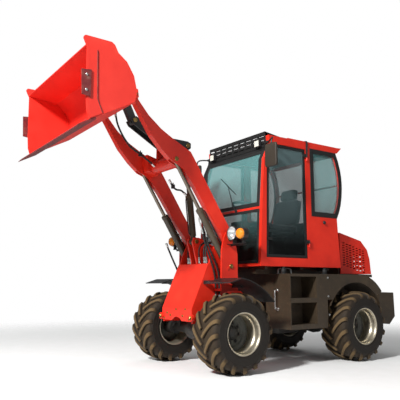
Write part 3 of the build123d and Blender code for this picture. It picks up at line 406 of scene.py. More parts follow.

# %% [markdown]
# ## Rubber, glass, plastic and cloth
# Tyre rubber is black only when new: on the lugs' tops the ground has left pale dust, and the side walls
# have gone brown-black. So the tyre reads an attribute that says how near a point is to the ground's touch.
# Cab glass is tinted and mirrors the sky. Its tint is painted too: lighter high up and darker low down, a
# painted reflection of sky and ground and painted shade of the cab behind it. It could be true refracting
# glass, but thin flat panes hardly bend light, and a see-through coat with a shine shows the same and renders
# without grain.


# %% Tyre rubber, glass and lenses
def tyre_rubber():
    """Brown-black rubber with tan dust where the mesh's dust attribute is high, broken up by noise."""
    finish = bpy.data.materials.new("weathered_tyre_rubber")
    finish.use_nodes = True
    tree = finish.node_tree
    shader = tree.nodes["Principled BSDF"]
    shader.inputs["Specular IOR Level"].default_value = 0.35
    where = add(tree, "ShaderNodeTexCoord").outputs["Object"]
    dust = add(tree, "ShaderNodeAttribute", attribute_name="dust").outputs["Fac"]
    cloud = add(
        tree, "ShaderNodeTexNoise", {"Scale": 22, "Detail": 7, "Roughness": 0.7}, {"Vector": where}
    ).outputs["Fac"]
    both = add(tree, "ShaderNodeMath", {1: 0.75}, {0: cloud}, operation="ADD").outputs[0]
    share = add(tree, "ShaderNodeMath", links={0: dust, 1: both}, operation="MULTIPLY").outputs[0]
    tone = add(
        tree, "ShaderNodeValToRGB", links={"Fac": share},
        stops=[(0.05, "#120E09"), (0.35, "#22190F"), (0.7, "#413320"), (1.0, "#614E33")]
    )
    tree.links.new(tone.outputs["Color"], shader.inputs["Base Color"])
    dull = add(tree, "ShaderNodeMapRange", {"To Min": 0.62, "To Max": 0.9}, {"Value": share})
    tree.links.new(dull.outputs["Result"], shader.inputs["Roughness"])
    grain = add(
        tree, "ShaderNodeTexNoise", {"Scale": 1000 / 9, "Detail": 6, "Roughness": 0.65}, {"Vector": where}
    )
    bump = add(
        tree, "ShaderNodeBump", {"Strength": 0.35, "Distance": 0.003}, {"Height": grain.outputs["Fac"]}
    )
    tree.links.new(bump.outputs["Normal"], shader.inputs["Normal"])
    return finish


def pane(name, low, high, opacity, rough=0.04):
    """A tinted see-through sheet whose tint runs from dark low down to light high up, with soft streaks:
    painted light, for the sky seen in the upper glass and the shaded ground and cab low down.
    """
    finish = bpy.data.materials.new(name)
    finish.use_nodes = True
    tree = finish.node_tree
    shader = tree.nodes["Principled BSDF"]
    shader.inputs["Alpha"].default_value = opacity
    shader.inputs["Roughness"].default_value = rough
    shader.inputs["IOR"].default_value = 1.52
    where = add(tree, "ShaderNodeTexCoord").outputs["Object"]
    height = add(tree, "ShaderNodeSeparateXYZ", links={"Vector": where}).outputs["Z"]
    share = add(tree, "ShaderNodeMapRange", {"From Min": 1.1, "From Max": 2.4}, {"Value": height})
    reflection_streak = add(tree, "ShaderNodeTexNoise", {"Scale": 2.2, "Detail": 3}, {"Vector": where})
    painted_light_tint = add(
        tree, "ShaderNodeMath", {2: -0.25}, {0: reflection_streak.outputs["Fac"], 1: share.outputs["Result"]},
        operation="MULTIPLY_ADD"
    )
    up = add(tree, "ShaderNodeMath", links={0: share.outputs["Result"], 1: painted_light_tint.outputs[0]}, operation="ADD")
    tone = add(tree, "ShaderNodeValToRGB", links={"Fac": up.outputs[0]}, stops=[(0.0, low), (1.0, high)])
    tree.links.new(tone.outputs["Color"], shader.inputs["Base Color"])
    return finish


rubber = tyre_rubber()
# Tinted safety glass, rolled: grey-green, with a painted gradient: lighter high up as a painted reflection of
# the sky, darker low down as painted shade of the cab and a painted reflection of the ground.
cab_pane = pane("grey_green_glass_painted_sky_and_shade", "#1D2321", "#6FA3A2", 0.42)
# The door's pane is greyer and clearer, with the same painted gradient, darker low down where the shaded cab
# is seen through it. The lens glass is nearly colourless, with a soft shine.
door_pane = pane("grey_door_glass_painted_reflection_and_shade", "#0E1110", "#6E8688", 0.36)
lens_glass = pane("pressed_clear_lens", "#C9CFCF", "#E6ECEC", 0.22, rough=0.08)
# Black extruded window rubber and hose cover: matte, even.
seal_rubber = sprayed(
    "black_extruded_rubber", [(0.3, "#0E0E0E"), (0.7, "#171615")], patch_mm=40, rough=(0.6, 0.78), wave=0.1,
    shine=0.0
)
# Moulded black ABS with a fine leather-like texture.
moulded_black = sprayed(
    "moulded_black_abs", [(0.3, "#17171A"), (0.7, "#232326")], wave_mm=3, rough=(0.45, 0.6), wave=0.2,
    shine=0.0
)
# Foam-backed vinyl panels, a mat and a headliner inside the cab: dark grey, matte, with a leather grain;
# their near-black tone is partly painted shade for the dim inside of the cab.
shaded_cab_lining = sprayed(
    "foam_backed_vinyl_lining_painted_shade", [(0.3, "#15171A"), (0.7, "#1E2023")], wave_mm=5, rough=(0.7, 0.85),
    wave=0.3, shine=0.0
)
# A pale sheet behind the guard: light grey, satin, its tone painted light for the brightness seen through the
# guard's slots.
painted_light_trim = sprayed(
    "pale_trim_painted_light", [(0.3, "#C9CCCC"), (0.7, "#E0E2E1")], patch_mm=40, rough=(0.4, 0.55), shine=0.0
)
# Brown-black mirror backs: the same plastic, faded by the sun.
faded_black = sprayed(
    "sun_faded_black_abs", [(0.3, "#2B2620"), (0.7, "#383127")], wave_mm=4, rough=(0.4, 0.55), wave=0.15,
    shine=0.05
)
# Lacquered reflector bowls and mirror glass: bright and smooth.
bright_bowl = sprayed(
    "lacquered_reflector", [(0.3, "#DADCDC"), (0.7, "#F2F3F2")], patch_mm=20, rough=(0.08, 0.16), wave=0.02,
    shine=0.0, metallic=1.0
)
# Beige-white work lamp lenses: ribbed glass over a pale reflector.
pale_lens = sprayed(
    "ribbed_pale_lens", [(0.3, "#C9C6B8"), (0.7, "#DEDBCF")], patch_mm=18, rough=(0.2, 0.32), wave=0.3,
    shine=0.4
)
print("rubber, glass and plastics made")

# %% [markdown]
# ## Amber acrylic and seat cloth
# An indicator lens is clear orange acrylic with moulded ribs, and some light goes round inside it.
# Subsurface light shows that, and a wave along Y gives the ribs. Seat cloth is a weave: a warp and a weft
# multiplied. A scanned cloth would look finer, but nothing finer than this shows through tinted glass.


# %% Amber lens and woven seat cover
def amber_lens():
    """Clear orange acrylic over a bulb: saturated orange, a little light of its own through the plastic,
    small ribs."""
    finish = bpy.data.materials.new("amber_acrylic_lens")
    finish.use_nodes = True
    tree = finish.node_tree
    shader = tree.nodes["Principled BSDF"]
    shader.inputs["Roughness"].default_value = 0.16
    shader.inputs["Subsurface Weight"].default_value = 0.3
    shader.inputs["Subsurface Scale"].default_value = 0.02
    where = add(tree, "ShaderNodeTexCoord").outputs["Object"]
    ribs = add(
        tree, "ShaderNodeTexWave", {"Scale": 42, "Distortion": 0.0}, {"Vector": where}, bands_direction="Y"
    )
    tone = add(
        tree, "ShaderNodeValToRGB", links={"Fac": ribs.outputs["Fac"]},
        stops=[(0.0, "#D87413"), (1.0, "#F29A2B")]
    )
    tree.links.new(tone.outputs["Color"], shader.inputs["Base Color"])
    bump = add(tree, "ShaderNodeBump", {"Strength": 0.4, "Distance": 0.002}, {"Height": ribs.outputs["Fac"]})
    tree.links.new(bump.outputs["Normal"], shader.inputs["Normal"])
    return finish


def woven_cover():
    """Dark woven seat cloth: a warp and a weft of 4 mm, coarse enough to show, as two crossed waves."""
    finish = bpy.data.materials.new("dark_woven_seat_cloth")
    finish.use_nodes = True
    tree = finish.node_tree
    shader = tree.nodes["Principled BSDF"]
    shader.inputs["Roughness"].default_value = 0.88
    shader.inputs["Sheen Weight"].default_value = 0.25
    where = add(tree, "ShaderNodeTexCoord").outputs["Object"]
    warp = add(tree, "ShaderNodeTexWave", {"Scale": 78}, {"Vector": where}, bands_direction="Y")
    weft = add(tree, "ShaderNodeTexWave", {"Scale": 78}, {"Vector": where}, bands_direction="Z")
    cloth = add(
        tree, "ShaderNodeMath", links={0: warp.outputs["Fac"], 1: weft.outputs["Fac"]}, operation="MULTIPLY"
    )
    tone = add(
        tree, "ShaderNodeValToRGB", links={"Fac": cloth.outputs[0]},
        stops=[(0.0, "#101114"), (1.0, "#2A2C31")]
    )
    tree.links.new(tone.outputs["Color"], shader.inputs["Base Color"])
    bump = add(tree, "ShaderNodeBump", {"Strength": 0.3, "Distance": 0.001}, {"Height": cloth.outputs[0]})
    tree.links.new(bump.outputs["Normal"], shader.inputs["Normal"])
    return finish


amber = amber_lens()
seat_cloth = woven_cover()
print("amber lens and seat cloth made")

# %% [markdown]
# ## Finishes on the CAD pieces
# The welded and folded parts keep their CAD solids, since a plate is a plate. Each gets the coat it has on
# the real machine. A dictionary from finish to node names is enough, and a node that is missed shows at
# once.

# %% Finishes by node
FINISHES = {
    red_enamel: ["cab_roof", "front_frame", "front_cover", "boom", "coupler", "hood", "cab_frame"],
    rubbed_enamel: ["bucket"],
    maroon_edge: ["cutting_edge"],
    chassis_enamel: ["rear_fenders", "step_boxes", "counterweight", "rear_frame", "engine_deck"],
    cylinder_enamel: ["lift_barrels", "tilt_barrel"],
    rod_chrome: ["lift_rods", "tilt_rod"],
    cast_enamel: ["front_axle", "rear_axle", "engine", "driveline"],
    black_enamel: ["roof_guard", "headlamps", "bellcrank", "tilt_link", "door", "front_fenders"],
    moulded_black: ["work_lamps", "steering_column"],
    faded_black: ["mirrors"],
    lens_glass: ["headlamp_lenses"],
    amber: ["indicator_lenses"],
    cab_pane: ["cab_glass"],
    door_pane: ["door_glass"],
    seat_cloth: ["seat"],
    wheel_silver: [f"rim_{end}" for end in WHEEL_AT],
    rubber: [f"tyre_{end}" for end in WHEEL_AT],
}
for finish, names in FINISHES.items():
    for name in names:
        mesh = nodes[name].data
        mesh.materials.clear()
        mesh.materials.append(finish)
print("nodes with no finish:", sorted(set(nodes) - {n for names in FINISHES.values() for n in names}))

# %% [markdown]
# ## The carcass of a tyre
# A loader tyre is a wide flat-crowned ring: bead, round belly, shoulder and tread. The carcass is one
# closed profile turned round the axle. The two thin ribs on the belly are there to guard the side wall on
# real tyres.

# %% Carcass profile
BELLY = [
    (191, 172), (196, 181), (206, 184), (216, 188), (228, 190), (232, 192.5), (237, 192.5), (241, 190.5),
    (262, 191), (286, 190)
]
CROWN = [
    (296, 190), (300, 191.5), (305, 189), (316, 184.5), (332, 178), (346, 168), (356, 153), (361, 128),
    (362.6, 90), (363.6, 40)
]
half_carcass = np.array(BELLY + CROWN, float)
carcass = eased(np.vstack([half_carcass, [[364, 0]], half_carcass[::-1] * (1, -1)]), 1)


def wheel_axis(side):
    """The axle's direction, pointing away from the machine on that side."""
    return (0, side, 0)


print("carcass profile of", len(carcass), "points, widest at", round(float(carcass[:, 1].max()), 1), "mm")

# %% [markdown]
# ## Curved lugs
# The lugs are bars that start near the tread's middle, sweep back to the shoulder and run a little way down
# the side wall. Each is a rounded trapezium carried along a path that lies on the carcass: the height is
# laid off along the carcass's normal, and the width along normal x path. A displacement map could not
# undercut the shoulder, and a straight block, as in the CAD, lacks the sweep that lets mud fall out.

# %% Lug surface
LUG_BASE = np.array(
    [(363.8, 5), (363.6, 45), (362.3, 90), (359.8, 130), (354, 158), (342, 173), (326, 181), (306, 187)],
    float
)
LUG_HIGH = np.array([29.4, 29.7, 29.6, 28.5, 25.0, 17.5, 11.0, 3.5])
LUG_HALF = np.array([12.5, 13.5, 14.5, 16.0, 18.5, 20.5, 21.5, 22.0])
LUG_ACROSS = np.array([-1.3, -1.16, -1.0, -0.84, 0.0, 0.84, 1.0, 1.16, 1.3])
LUG_UP = np.array([-0.35, 0.5, 0.93, 1.0, 1.015, 1.0, 0.93, 0.5, -0.35])
LUG_DUST = np.array([0.15, 0.35, 0.8, 1.0, 1.0, 1.0, 0.8, 0.35, 0.15])
LUG_SUNK, LUG_LEAN, SHOULDER = 26, 28, 173
LUGS_PER_SIDE, CARCASS_STEPS, REAR_TURN = 16, 112, 7.0
PITCH = 360 / LUGS_PER_SIDE


def lug(centre, side, wheel_side, start):
    """One lug: base(s) + across half(s) (normal x path) + up height(s) normal, s running from the nose down
    the wall. It turns by LUG_LEAN (1 - width / SHOULDER) ^ 1.08 on the way. Also gives each point's
    dust."""
    s = np.linspace(0, len(LUG_BASE) - 1, 22)
    knots = np.arange(len(LUG_BASE))
    radius, width, high, half = (
        np.interp(s, knots, v) for v in (LUG_BASE[:, 0], LUG_BASE[:, 1], LUG_HIGH, LUG_HALF)
    )
    radius, width, high = (
        np.convolve(np.pad(v, 2, mode="edge"), np.ones(5) / 5, "valid") for v in (radius, width, high)
    )
    lean = np.radians(LUG_LEAN) * (1 - np.minimum(width / SHOULDER, 1)) ** 1.08
    angle = np.radians(start) + lean
    out = np.stack([np.cos(angle), 0 * angle, -np.sin(angle)], 1)
    axle = np.array([0, side * wheel_side, 0], float)
    base = np.asarray(centre, float) + radius[:, None] * out + width[:, None] * axle
    slope = unit(np.stack([np.gradient(radius), np.gradient(width)], 1))
    normal = slope[:, 1:] * out - slope[:, :1] * axle
    path = unit(np.gradient(base, axis=0))
    beside = unit(np.cross(normal, path))
    up = np.where(LUG_UP < 0, LUG_UP * LUG_SUNK, high[:, None] * LUG_UP)
    sideways = beside[:, None] * (half[:, None] * LUG_ACROSS)[..., None]
    grid = base[:, None] + sideways + normal[:, None] * up[..., None]
    fade = np.interp(s, [0, 4, 7], [1, 0.9, 0.25])[:, None]
    return skin(grid), (fade * LUG_DUST).ravel()


for end, (x, y, side) in WHEEL_AT.items():
    centre = (x, y, AXLE_Z)
    turn = REAR_TURN if end.startswith("rear") else 0.0
    body = turned(carcass, centre, wheel_axis(side), steps=CARCASS_STEPS, looped=True)
    crown = np.interp(carcass[:, 0], [191, 300, 335, 364], [0.1, 0.12, 0.3, 0.4])
    parts, marks = [body], [np.repeat(crown, CARCASS_STEPS)]
    for number in range(LUGS_PER_SIDE):
        for hand, shift in ((1, 0), (-1, PITCH / 2)):
            surface, dust = lug(centre, hand, side, turn + shift + PITCH * number)
            parts.append(surface)
            marks.append(dust)
    tyre = piece(
        f"tyre_{end}_lugged", f"wheel_{end}", rubber, parts, stands_for=[f"tyre_{end}"], crease=50,
        marks=marks
    )

# %% [markdown]
# ## Deep wheel dishes
# The rim is rolled from sheet: a rounded lip, the bead seat and a step down into the well. A pressed disc is
# welded far inside, so that from outside one looks into a deep silver barrel with a dark bottom, greasy and
# darkened further by painted shade.
# Barrel and disc are two closed profiles turned round the axle, because a coat that changes halfway down
# one mesh would need a mask. The hub, its bolted cover and the wheel nuts sit on the disc.

# %% Rims, hubs and nuts
BARREL = [
    (208, 178), (208.3, 182), (207, 185.5), (203.5, 186.5), (199, 184.5), (195.5, 180), (192, 174),
    (189, 166), (187.5, 158), (186.5, 128), (184, 122), (178, 116), (175, 110), (174, 100), (174, 58),
    (176, 50), (182, 42), (184, 34), (184, -140), (188, -170), (197, -182), (204, -186), (208, -184),
    (208, -179), (199, -177), (190.4, -166), (190.4, 166), (198, 174),
]
DISC = [
    (50, -25), (120, -25), (128, -23), (136, -15), (146, -6), (160, 0), (176, 4), (185, 5), (185, -8),
    (162, -13), (148, -20), (136, -34), (122, -38), (50, -38)
]
HUB = [(72, -50), (72, -8), (70, -4), (64, 0), (57, 2), (54, 6), (53, 12), (48, 16), (30, 18), (12, 18.5)]
NUT_CIRCLE, COVER_CIRCLE = 98, 61


def round_the_axle(centre, radius, count, turn=0.0):
    """Points evenly spaced on a circle round the axle: centre + radius (cos a, 0, sin a)."""
    a = np.radians(turn) + np.arange(count) * 2 * np.pi / count
    return np.asarray(centre, float) + radius * np.stack([np.cos(a), 0 * a, np.sin(a)], 1)


for end, (x, y, side) in WHEEL_AT.items():
    centre, axis = (x, y, AXLE_Z), wheel_axis(side)
    barrel = turned(BARREL, centre, axis, steps=96, looped=True)
    rim = piece(
        f"rim_{end}_rolled", f"wheel_{end}", wheel_silver, [barrel], stands_for=[f"rim_{end}"], crease=40
    )
    # The disc's dark coat is partly grease and dust and partly painted shade for the deep barrel.
    disc = piece(
        f"disc_{end}_pressed", f"wheel_{end}", dusty_shaded_disc, [turned(DISC, centre, axis, steps=96)],
        stands_for=[f"rim_{end}"]
    )
    hub = piece(
        f"hub_{end}", f"wheel_{end}", cast_enamel, [turned(HUB, centre, axis, steps=48)],
        stands_for=[f"rim_{end}"]
    )
    face = (x, y - side * 25, AXLE_Z)
    cover = (x, y + side * 1.5, AXLE_Z)
    nuts = hexagons(round_the_axle(face, NUT_CIRCLE, 8, 12), axis, 27, 15)
    nuts += hexagons(round_the_axle(cover, COVER_CIRCLE, 6, 30), axis, 11, 6)
    piece(f"wheel_nuts_{end}", f"wheel_{end}", cast_enamel, nuts)

# %% [markdown]
# ## Padded seat
# The driver's seat is foam under woven cloth: a base cushion, a back cushion and a small head pad. A foam
# cushion is a crowned, closed form. A cloth simulation blown up by pressure would give it finer folds, but
# this one is seen through dark glass, so a formula does: a superellipsoid, which is a ball squared off by
# signed powers, with sewn channels pressed into its outer face. It stays inside the block that holds its
# place in the CAD part.


# %% Cushions
def squared(value, power):
    """A signed power: sign(value) |value| ^ power."""
    return np.sign(value) * np.abs(value) ** power


def crowned(centre, half, powers=(0.32, 0.3), rows=36, columns=72):
    """Superellipsoid: centre + half (C(u) C(v), C(u) S(v), S(u)), C and S being signed powers of cos and
    sin."""
    u = np.linspace(-np.pi / 2 + 1e-3, np.pi / 2 - 1e-3, rows)[:, None]
    v = np.linspace(0, 2 * np.pi, columns, endpoint=False)[None]
    ring = squared(np.cos(u), powers[0])
    x, y = ring * squared(np.cos(v), powers[1]), ring * squared(np.sin(v), powers[1])
    grid = np.stack([x, y, squared(np.sin(u), powers[0]) + 0 * v], -1)
    return skin(np.asarray(centre, float) + grid * half)


def cushion(name, centre, half, lean=0.0, channels=0):
    """A crowned pad leaning about its own middle: thickness times 0.86 + 0.14 (1 - x^2) (1 - y^2), x and y
    being shares of the half size, less 7 mm exp(-(t / 9 mm)^2) at each sewn channel across its top."""
    (points, faces), across = crowned((0, 0, 0), half), np.array(half, float)
    share = points / across
    points[:, 2] *= 0.86 + 0.14 * (1 - share[:, 0] ** 2) * (1 - share[:, 1] ** 2)
    for place in np.linspace(-0.55, 0.55, channels):
        dent = 7 * np.exp(-(((share[:, 0] - place) * across[0] / 9) ** 2))
        points[:, 2] -= np.where(points[:, 2] > 0, dent, 0)
    c, s = math.cos(lean), math.sin(lean)
    turned_points = points @ np.array([(c, 0, s), (0, 1, 0), (-s, 0, c)])
    pad = piece(name, "rear", seat_cloth, [(turned_points + centre, faces)], stands_for=["seat"], crease=70)
    return pad


cushion("seat_base_cushion", (-232, 0, 1540), (232, 232, 50), lean=math.radians(3), channels=4)
cushion("seat_back_cushion", (-480, 0, 1755), (165, 215, 48), lean=math.radians(101), channels=3)
cushion("seat_head_pad", (-527, 0, 1990), (66, 130, 36), lean=math.radians(101))
stand = [
    bar(-400, -60, -170, 170, 1098, 1130), bar(-330, -130, -110, 110, 1130, 1440),
    bar(-420, -40, -190, 190, 1440, 1488)
]
bars = [tube([(-505, y, 1905), (-512, y, 1940)], 7) for y in (-60, 60)]
piece("seat_stand", "rear", moulded_black, stand + bars, bevel=6, stands_for=["seat"])

# %% [markdown]
# ## Lamps
# A headlamp is a pressed bowl with a rim that holds the glass. Looking in, one sees a bright parabola with
# a bulb in it, so the bowl is a shell and not a block. The lens is slightly domed and has upright flutes
# inside that spread the beam: its inner side is the dome plus a small cosine of Y. Indicators have a ribbed
# amber dome.

# %% Headlamps and indicators
LAMP_Y, LAMP_Z, BLINKER_Y, BLINKER_Z = 510, 1400, 662, 1386
CAN = [
    (15, 741), (34, 741), (45, 744), (60, 753), (70, 764), (75, 776), (77.5, 790), (78, 808), (75.5, 810),
    (73, 808), (60, 785), (35, 765), (12, 758)
]
BOWL = [
    (71.5, 809), (66, 799), (59, 787), (47, 775.5), (34, 767.5), (20, 762.3), (10, 760.8), (10, 759.6),
    (20, 761.3), (34.5, 766.5), (60, 786), (72, 809)
]
BULB = [(7, 758), (9, 762), (9, 774), (7.5, 781), (4, 785), (1, 786)]
BLINKER_CAN = [(20, 744), (50, 744), (57, 750), (60, 762), (60, 810), (56, 812), (20, 812)]
RIM_RING = [(72.5, 806), (78, 806), (78, 812), (76, 816), (73, 817), (71, 815), (71, 811)]
LENS = [
    (1, 812), (20, 811.8), (40, 811.3), (60, 810.6), (71, 810.2), (71, 813), (62, 820), (48, 826),
    (32, 830), (16, 832), (1, 832.5)
]
AMBER = [(1, 811), (53, 811), (55, 813), (55, 822), (52, 834), (45, 843), (34, 849), (18, 852), (1, 853)]


def fluted(centre_y):
    """The lens turned round X, with its inner side moved by 0.9 cos(2 pi y / 9 mm)."""
    points, faces = turned(LENS, (0, centre_y, LAMP_Z), (1, 0, 0), steps=72)
    inner = points[:, 0] < 812.5
    points[inner, 0] += 0.9 * np.cos(2 * np.pi * (points[inner, 1] - centre_y) / 9)
    return points, faces


cans, bowls, lenses, ambers, stays = [], [], [], [], []
for side in (1, -1):
    at = (0, side * LAMP_Y, LAMP_Z)
    cans += [turned(CAN, at, (1, 0, 0), steps=56), turned(RIM_RING, at, (1, 0, 0), steps=56, looped=True)]
    bowls += [turned(BOWL, at, (1, 0, 0), steps=56, looped=True), turned(BULB, at, (1, 0, 0), steps=20)]
    lenses.append(fluted(side * LAMP_Y))
    blinker = (0, side * BLINKER_Y, BLINKER_Z)
    cans.append(turned(BLINKER_CAN, blinker, (1, 0, 0), steps=48))
    ambers.append(turned(AMBER, blinker, (1, 0, 0), steps=56))
    low, high = sorted((side * 415, side * 670))
    stays += [bar(745, 800, low, high, 1286, 1292), bar(745, 751, low, high, 1270, 1292)]
    for y, top in ((LAMP_Y, 1332), (BLINKER_Y, 1336)):
        stays.append(bar(757, 789, side * y - 14, side * y + 14, 1292, top))
piece("headlamp_cans", "front", black_enamel, cans, stands_for=["headlamps"])
piece("headlamp_reflectors", "front", bright_bowl, bowls, crease=60)
piece("headlamp_glasses", "front", lens_glass, lenses, stands_for=["headlamp_lenses"])
piece("indicator_domes", "front", amber, ambers, stands_for=["indicator_lenses"])
piece("lamp_stays", "front", black_enamel, stays, bevel=1.5, stands_for=["headlamps"])

# %% [markdown]
# ## Mirrors
# Mirror heads are thin moulded shells with rounded corners, hung on bent tube. They are small, but seen
# against the sky their outline shows, so the shell is the same squared ball as the cushions and not a box.

# %% Mirrors and their arms
MIRROR_Y, MIRROR_Z, SHELL_HALF, GLASS_HALF = 710, 2260, (14.5, 89.5, 129.5), (1.2, 80, 118)
heads, glasses, arms = [], [], []
for side in (1, -1):
    heads.append(crowned((415, side * MIRROR_Y, MIRROR_Z), SHELL_HALF, (0.22, 0.22), 28, 56))
    glasses.append(crowned((400.4, side * MIRROR_Y, MIRROR_Z), GLASS_HALF, (0.15, 0.2), 16, 48))
    reach = [
        (318, 530, 2446), (338, 600, 2452), (362, 670, 2464), (390, 712, 2460), (410, 716, 2430),
        (414, 714, 2380)
    ]
    arms.append(tube(eased([(x, side * y, z) for x, y, z in reach], 2), 9, sides=12, beside=(0.3, 0, 1)))
    arms.append(bar(306, 346, *sorted((side * 520, side * 574)), 2432, 2460))
piece("mirror_heads", "rear", faded_black, heads, stands_for=["mirrors"], crease=50)
piece("mirror_glasses", "rear", bright_bowl, glasses, crease=50)
piece("mirror_arms", "rear", black_enamel, arms, bevel=2, stands_for=["mirrors"])

# %% [markdown]
# ## Work lamps
# A work lamp is a square plastic box on a stub, with a ribbed pale glass set back in a lip. Four thin bars
# make the lip, which is simpler to keep closed than a hole cut in a box.

# %% Work lamps
LAMP_FROM_MIDDLE, LAMP_HALF, STUB_HALF = 430, 44, 10
boxes, faces = [], []
for side in (1, -1):
    middle = side * LAMP_FROM_MIDDLE
    low, high = middle - LAMP_HALF, middle + LAMP_HALF
    boxes += [
        bar(342, 378, low, high, 2407, 2488),
        bar(330, 345, middle - STUB_HALF, middle + STUB_HALF, 2440, 2456)
    ]
    boxes += [bar(376, 384.5, low, low + 7, 2407, 2488), bar(376, 384.5, high - 7, high, 2407, 2488)]
    boxes += [bar(376, 384.5, low, high, 2481, 2488), bar(376, 384.5, low, high, 2407, 2414)]
    faces.append(bar(377, 381, low + 6, high - 6, 2413, 2482))
piece("work_lamp_boxes", "rear", moulded_black, boxes, bevel=2.5, stands_for=["work_lamps"])
piece("work_lamp_glasses", "rear", pale_lens, faces, bevel=1.5)

# %% [markdown]
# ## Window rubber
# Fixed panes sit in black rubber, which shows from outside as a broad dark line round the glass. It is the
# flat ring from above, laid on the cab's side. The front screen is bent in profile, so its ring is made
# flat in Y and Z first, and each point then gets its X from the bend by straight interpolation.

# %% Rubber round the panes
SIDE_RUBBER = [
    (-318, 2464), (-318, 1654), (-752, 1654), (-792, 1730), (-826, 1820), (-848, 1920), (-859, 2020),
    (-861, 2083), (-856, 2170), (-840, 2260), (-808, 2365), (-764, 2464),
]
RIGHT_DOOR = [(-236, 1167), (381, 1167), (353, 2197), (270, 2433), (-236, 2433)]
borders = [flat_ring(SIDE_RUBBER, 57, 573, 580), flat_ring(SIDE_RUBBER, 57, -580, -573)]
borders.append(flat_ring(RIGHT_DOOR, 30, -580, -560))
piece("side_window_rubber", "rear", seal_rubber, borders, bevel=2)


def bent_ring(outline, width, heights, places, thick):
    """A ring drawn in (y, z) and set on a bent pane: x = the bend's x at that height, plus 1 mm or the
    thickness."""
    inner = inset(outline, width)
    layers = ((outline, 1), (outline, thick), (inner, thick), (inner, 1))
    rings = [np.insert(np.asarray(line, float), 0, x, axis=1) for line, x in layers]
    points, quads = skin(rings, looped=True)
    points[:, 0] += np.interp(points[:, 2], heights, places)
    return points, quads


SCREEN_UP, SCREEN_X, SILL_UP, SILL_X = [1715, 2249, 2366], [440, 398, 341], [1095, 1690], [464, 440]
upper = [(-533, 1718), (533, 1718), (533, 2249), (533, 2364), (-533, 2364), (-533, 2249)]
lower = [(-533, 1098), (533, 1098), (533, 1688), (-533, 1688)]
screens = [
    bent_ring(upper, 44, SCREEN_UP, SCREEN_X, 7),
    bent_ring(lower, 30, SILL_UP, SILL_X, 7),
]
piece("windscreen_rubber", "rear", seal_rubber, screens, bevel=1.5)

# %% [markdown]
# ## Dark header and far pillar
# The sheet above the screen is drawn black as painted shade: the dim cab roof seen through glass that runs up
# to the guard. The far pillar's face is painted black, so that the glass looks larger.
# They could be a second material on the cab's own mesh, but that mesh stays as it is, so each is a strip of
# sheet that follows the bend. A pale trim closes the gap behind the roof guard; its pale tone is painted
# light, for the brightness seen through the guard's slots.


# %% Header, far pillar and trim
def bent_strip(y0, y1, heights, places, thick):
    """A strip on a bent face: at each height four corners, x from its place + 0.5 mm to + thick."""
    rows = [[(x + 0.5, y0), (x + thick, y0), (x + thick, y1), (x + 0.5, y1)] for x in places]
    return skin([[(x, y, z) for x, y in row] for z, row in zip(heights, rows)])


# The black strip above the screen is painted shade for the dim cab roof seen through the glass.
header = bent_strip(-577, 534, [2367, 2390, 2466], [341, 330, 318.6], 5)
far_pillar = bent_strip(-577, -533, [1702, 2249, 2390, 2466], [440, 398, 330, 318.6], 4)
piece("windscreen_header_shade_and_far_pillar", "rear", black_enamel, [header, far_pillar])
# The pale strip behind the guard is painted light for the brightness seen through its slots.
trim = bent_strip(-524, 524, [2421, 2470, 2532], [326, 320, 322.5], 3)
piece("roof_front_trim", "rear", painted_light_trim, [trim])

# %% [markdown]
# ## Dark lining inside the cab
# Inside, such a cab is lined: a rubber mat, foam-backed panels below the windows and a headliner. It is dark,
# partly in its own tone and partly as painted shade for the dim light inside the cab, and it decides how deep
# the glass looks from outside. Without it one sees bright red paint through every pane.

# %% Mat, panels and headliner
mat = bar(-745, 455, -530, 530, 1096, 1102)
back = bar(-751, -744, -530, 530, 1102, 1652)
headliner = bar(-752, 297, -530, 530, 2459, 2468)
panels = [mat, back, headliner]
for side in (1, -1):
    low, high = sorted((side * 527, side * 534))
    panels += [bar(-744, -250, low, high, 1102, 1682), bar(-744, 300, low, high, 2442, 2459)]
# The lining's near-black tone is partly painted shade for the dim inside of the cab.
piece("shaded_cab_lining", "rear", shaded_cab_lining, panels, bevel=3)

# %% [markdown]
# ## Small things on the cab
# A cable over the roof's edge, a window knob and a red bar inside the rear window: each is a few pixels in
# a picture, yet without them a machine looks like a toy. The cable is a tube along a path with its corners
# cut. A curve with a bevel would do too, but the tube needs no conversion.

# %% Cable, knob and rear window bar
STRAP = [
    (-275, 420, 2545), (-275, 560, 2545), (-275, 581, 2538), (-274, 584, 2500), (-270, 584, 2440),
    (-262, 590, 2385),
]
strap = np.array(STRAP, float)
nearly_x = (1, 0, 0.01)
ribbon = [tube(eased(strap, 2), 7, beside=nearly_x), tube(eased(strap + (16, 0, 0), 2), 5, beside=nearly_x)]
piece("roof_cable", "rear", seal_rubber, ribbon)
KNOB = [(9, -14), (9, 0), (19, 3), (21, 10), (17, 17), (6, 19)]
piece("window_knob", "rear", moulded_black, [turned(KNOB, (-520, 578, 1590), (0, 1, 0), steps=28)])
piece("rear_window_bar", "rear", red_enamel, [bar(-846, -830, -533, 533, 2062, 2084)], bevel=3)

# %% [markdown]
# ## Handles of the step boxes
# The left box has a bent carrying handle on top and both have an upright grab bar in front, of
# bright-plated round bar on turned feet. The CAD part has the grab bars too, thinner, and the tube is drawn
# over them.

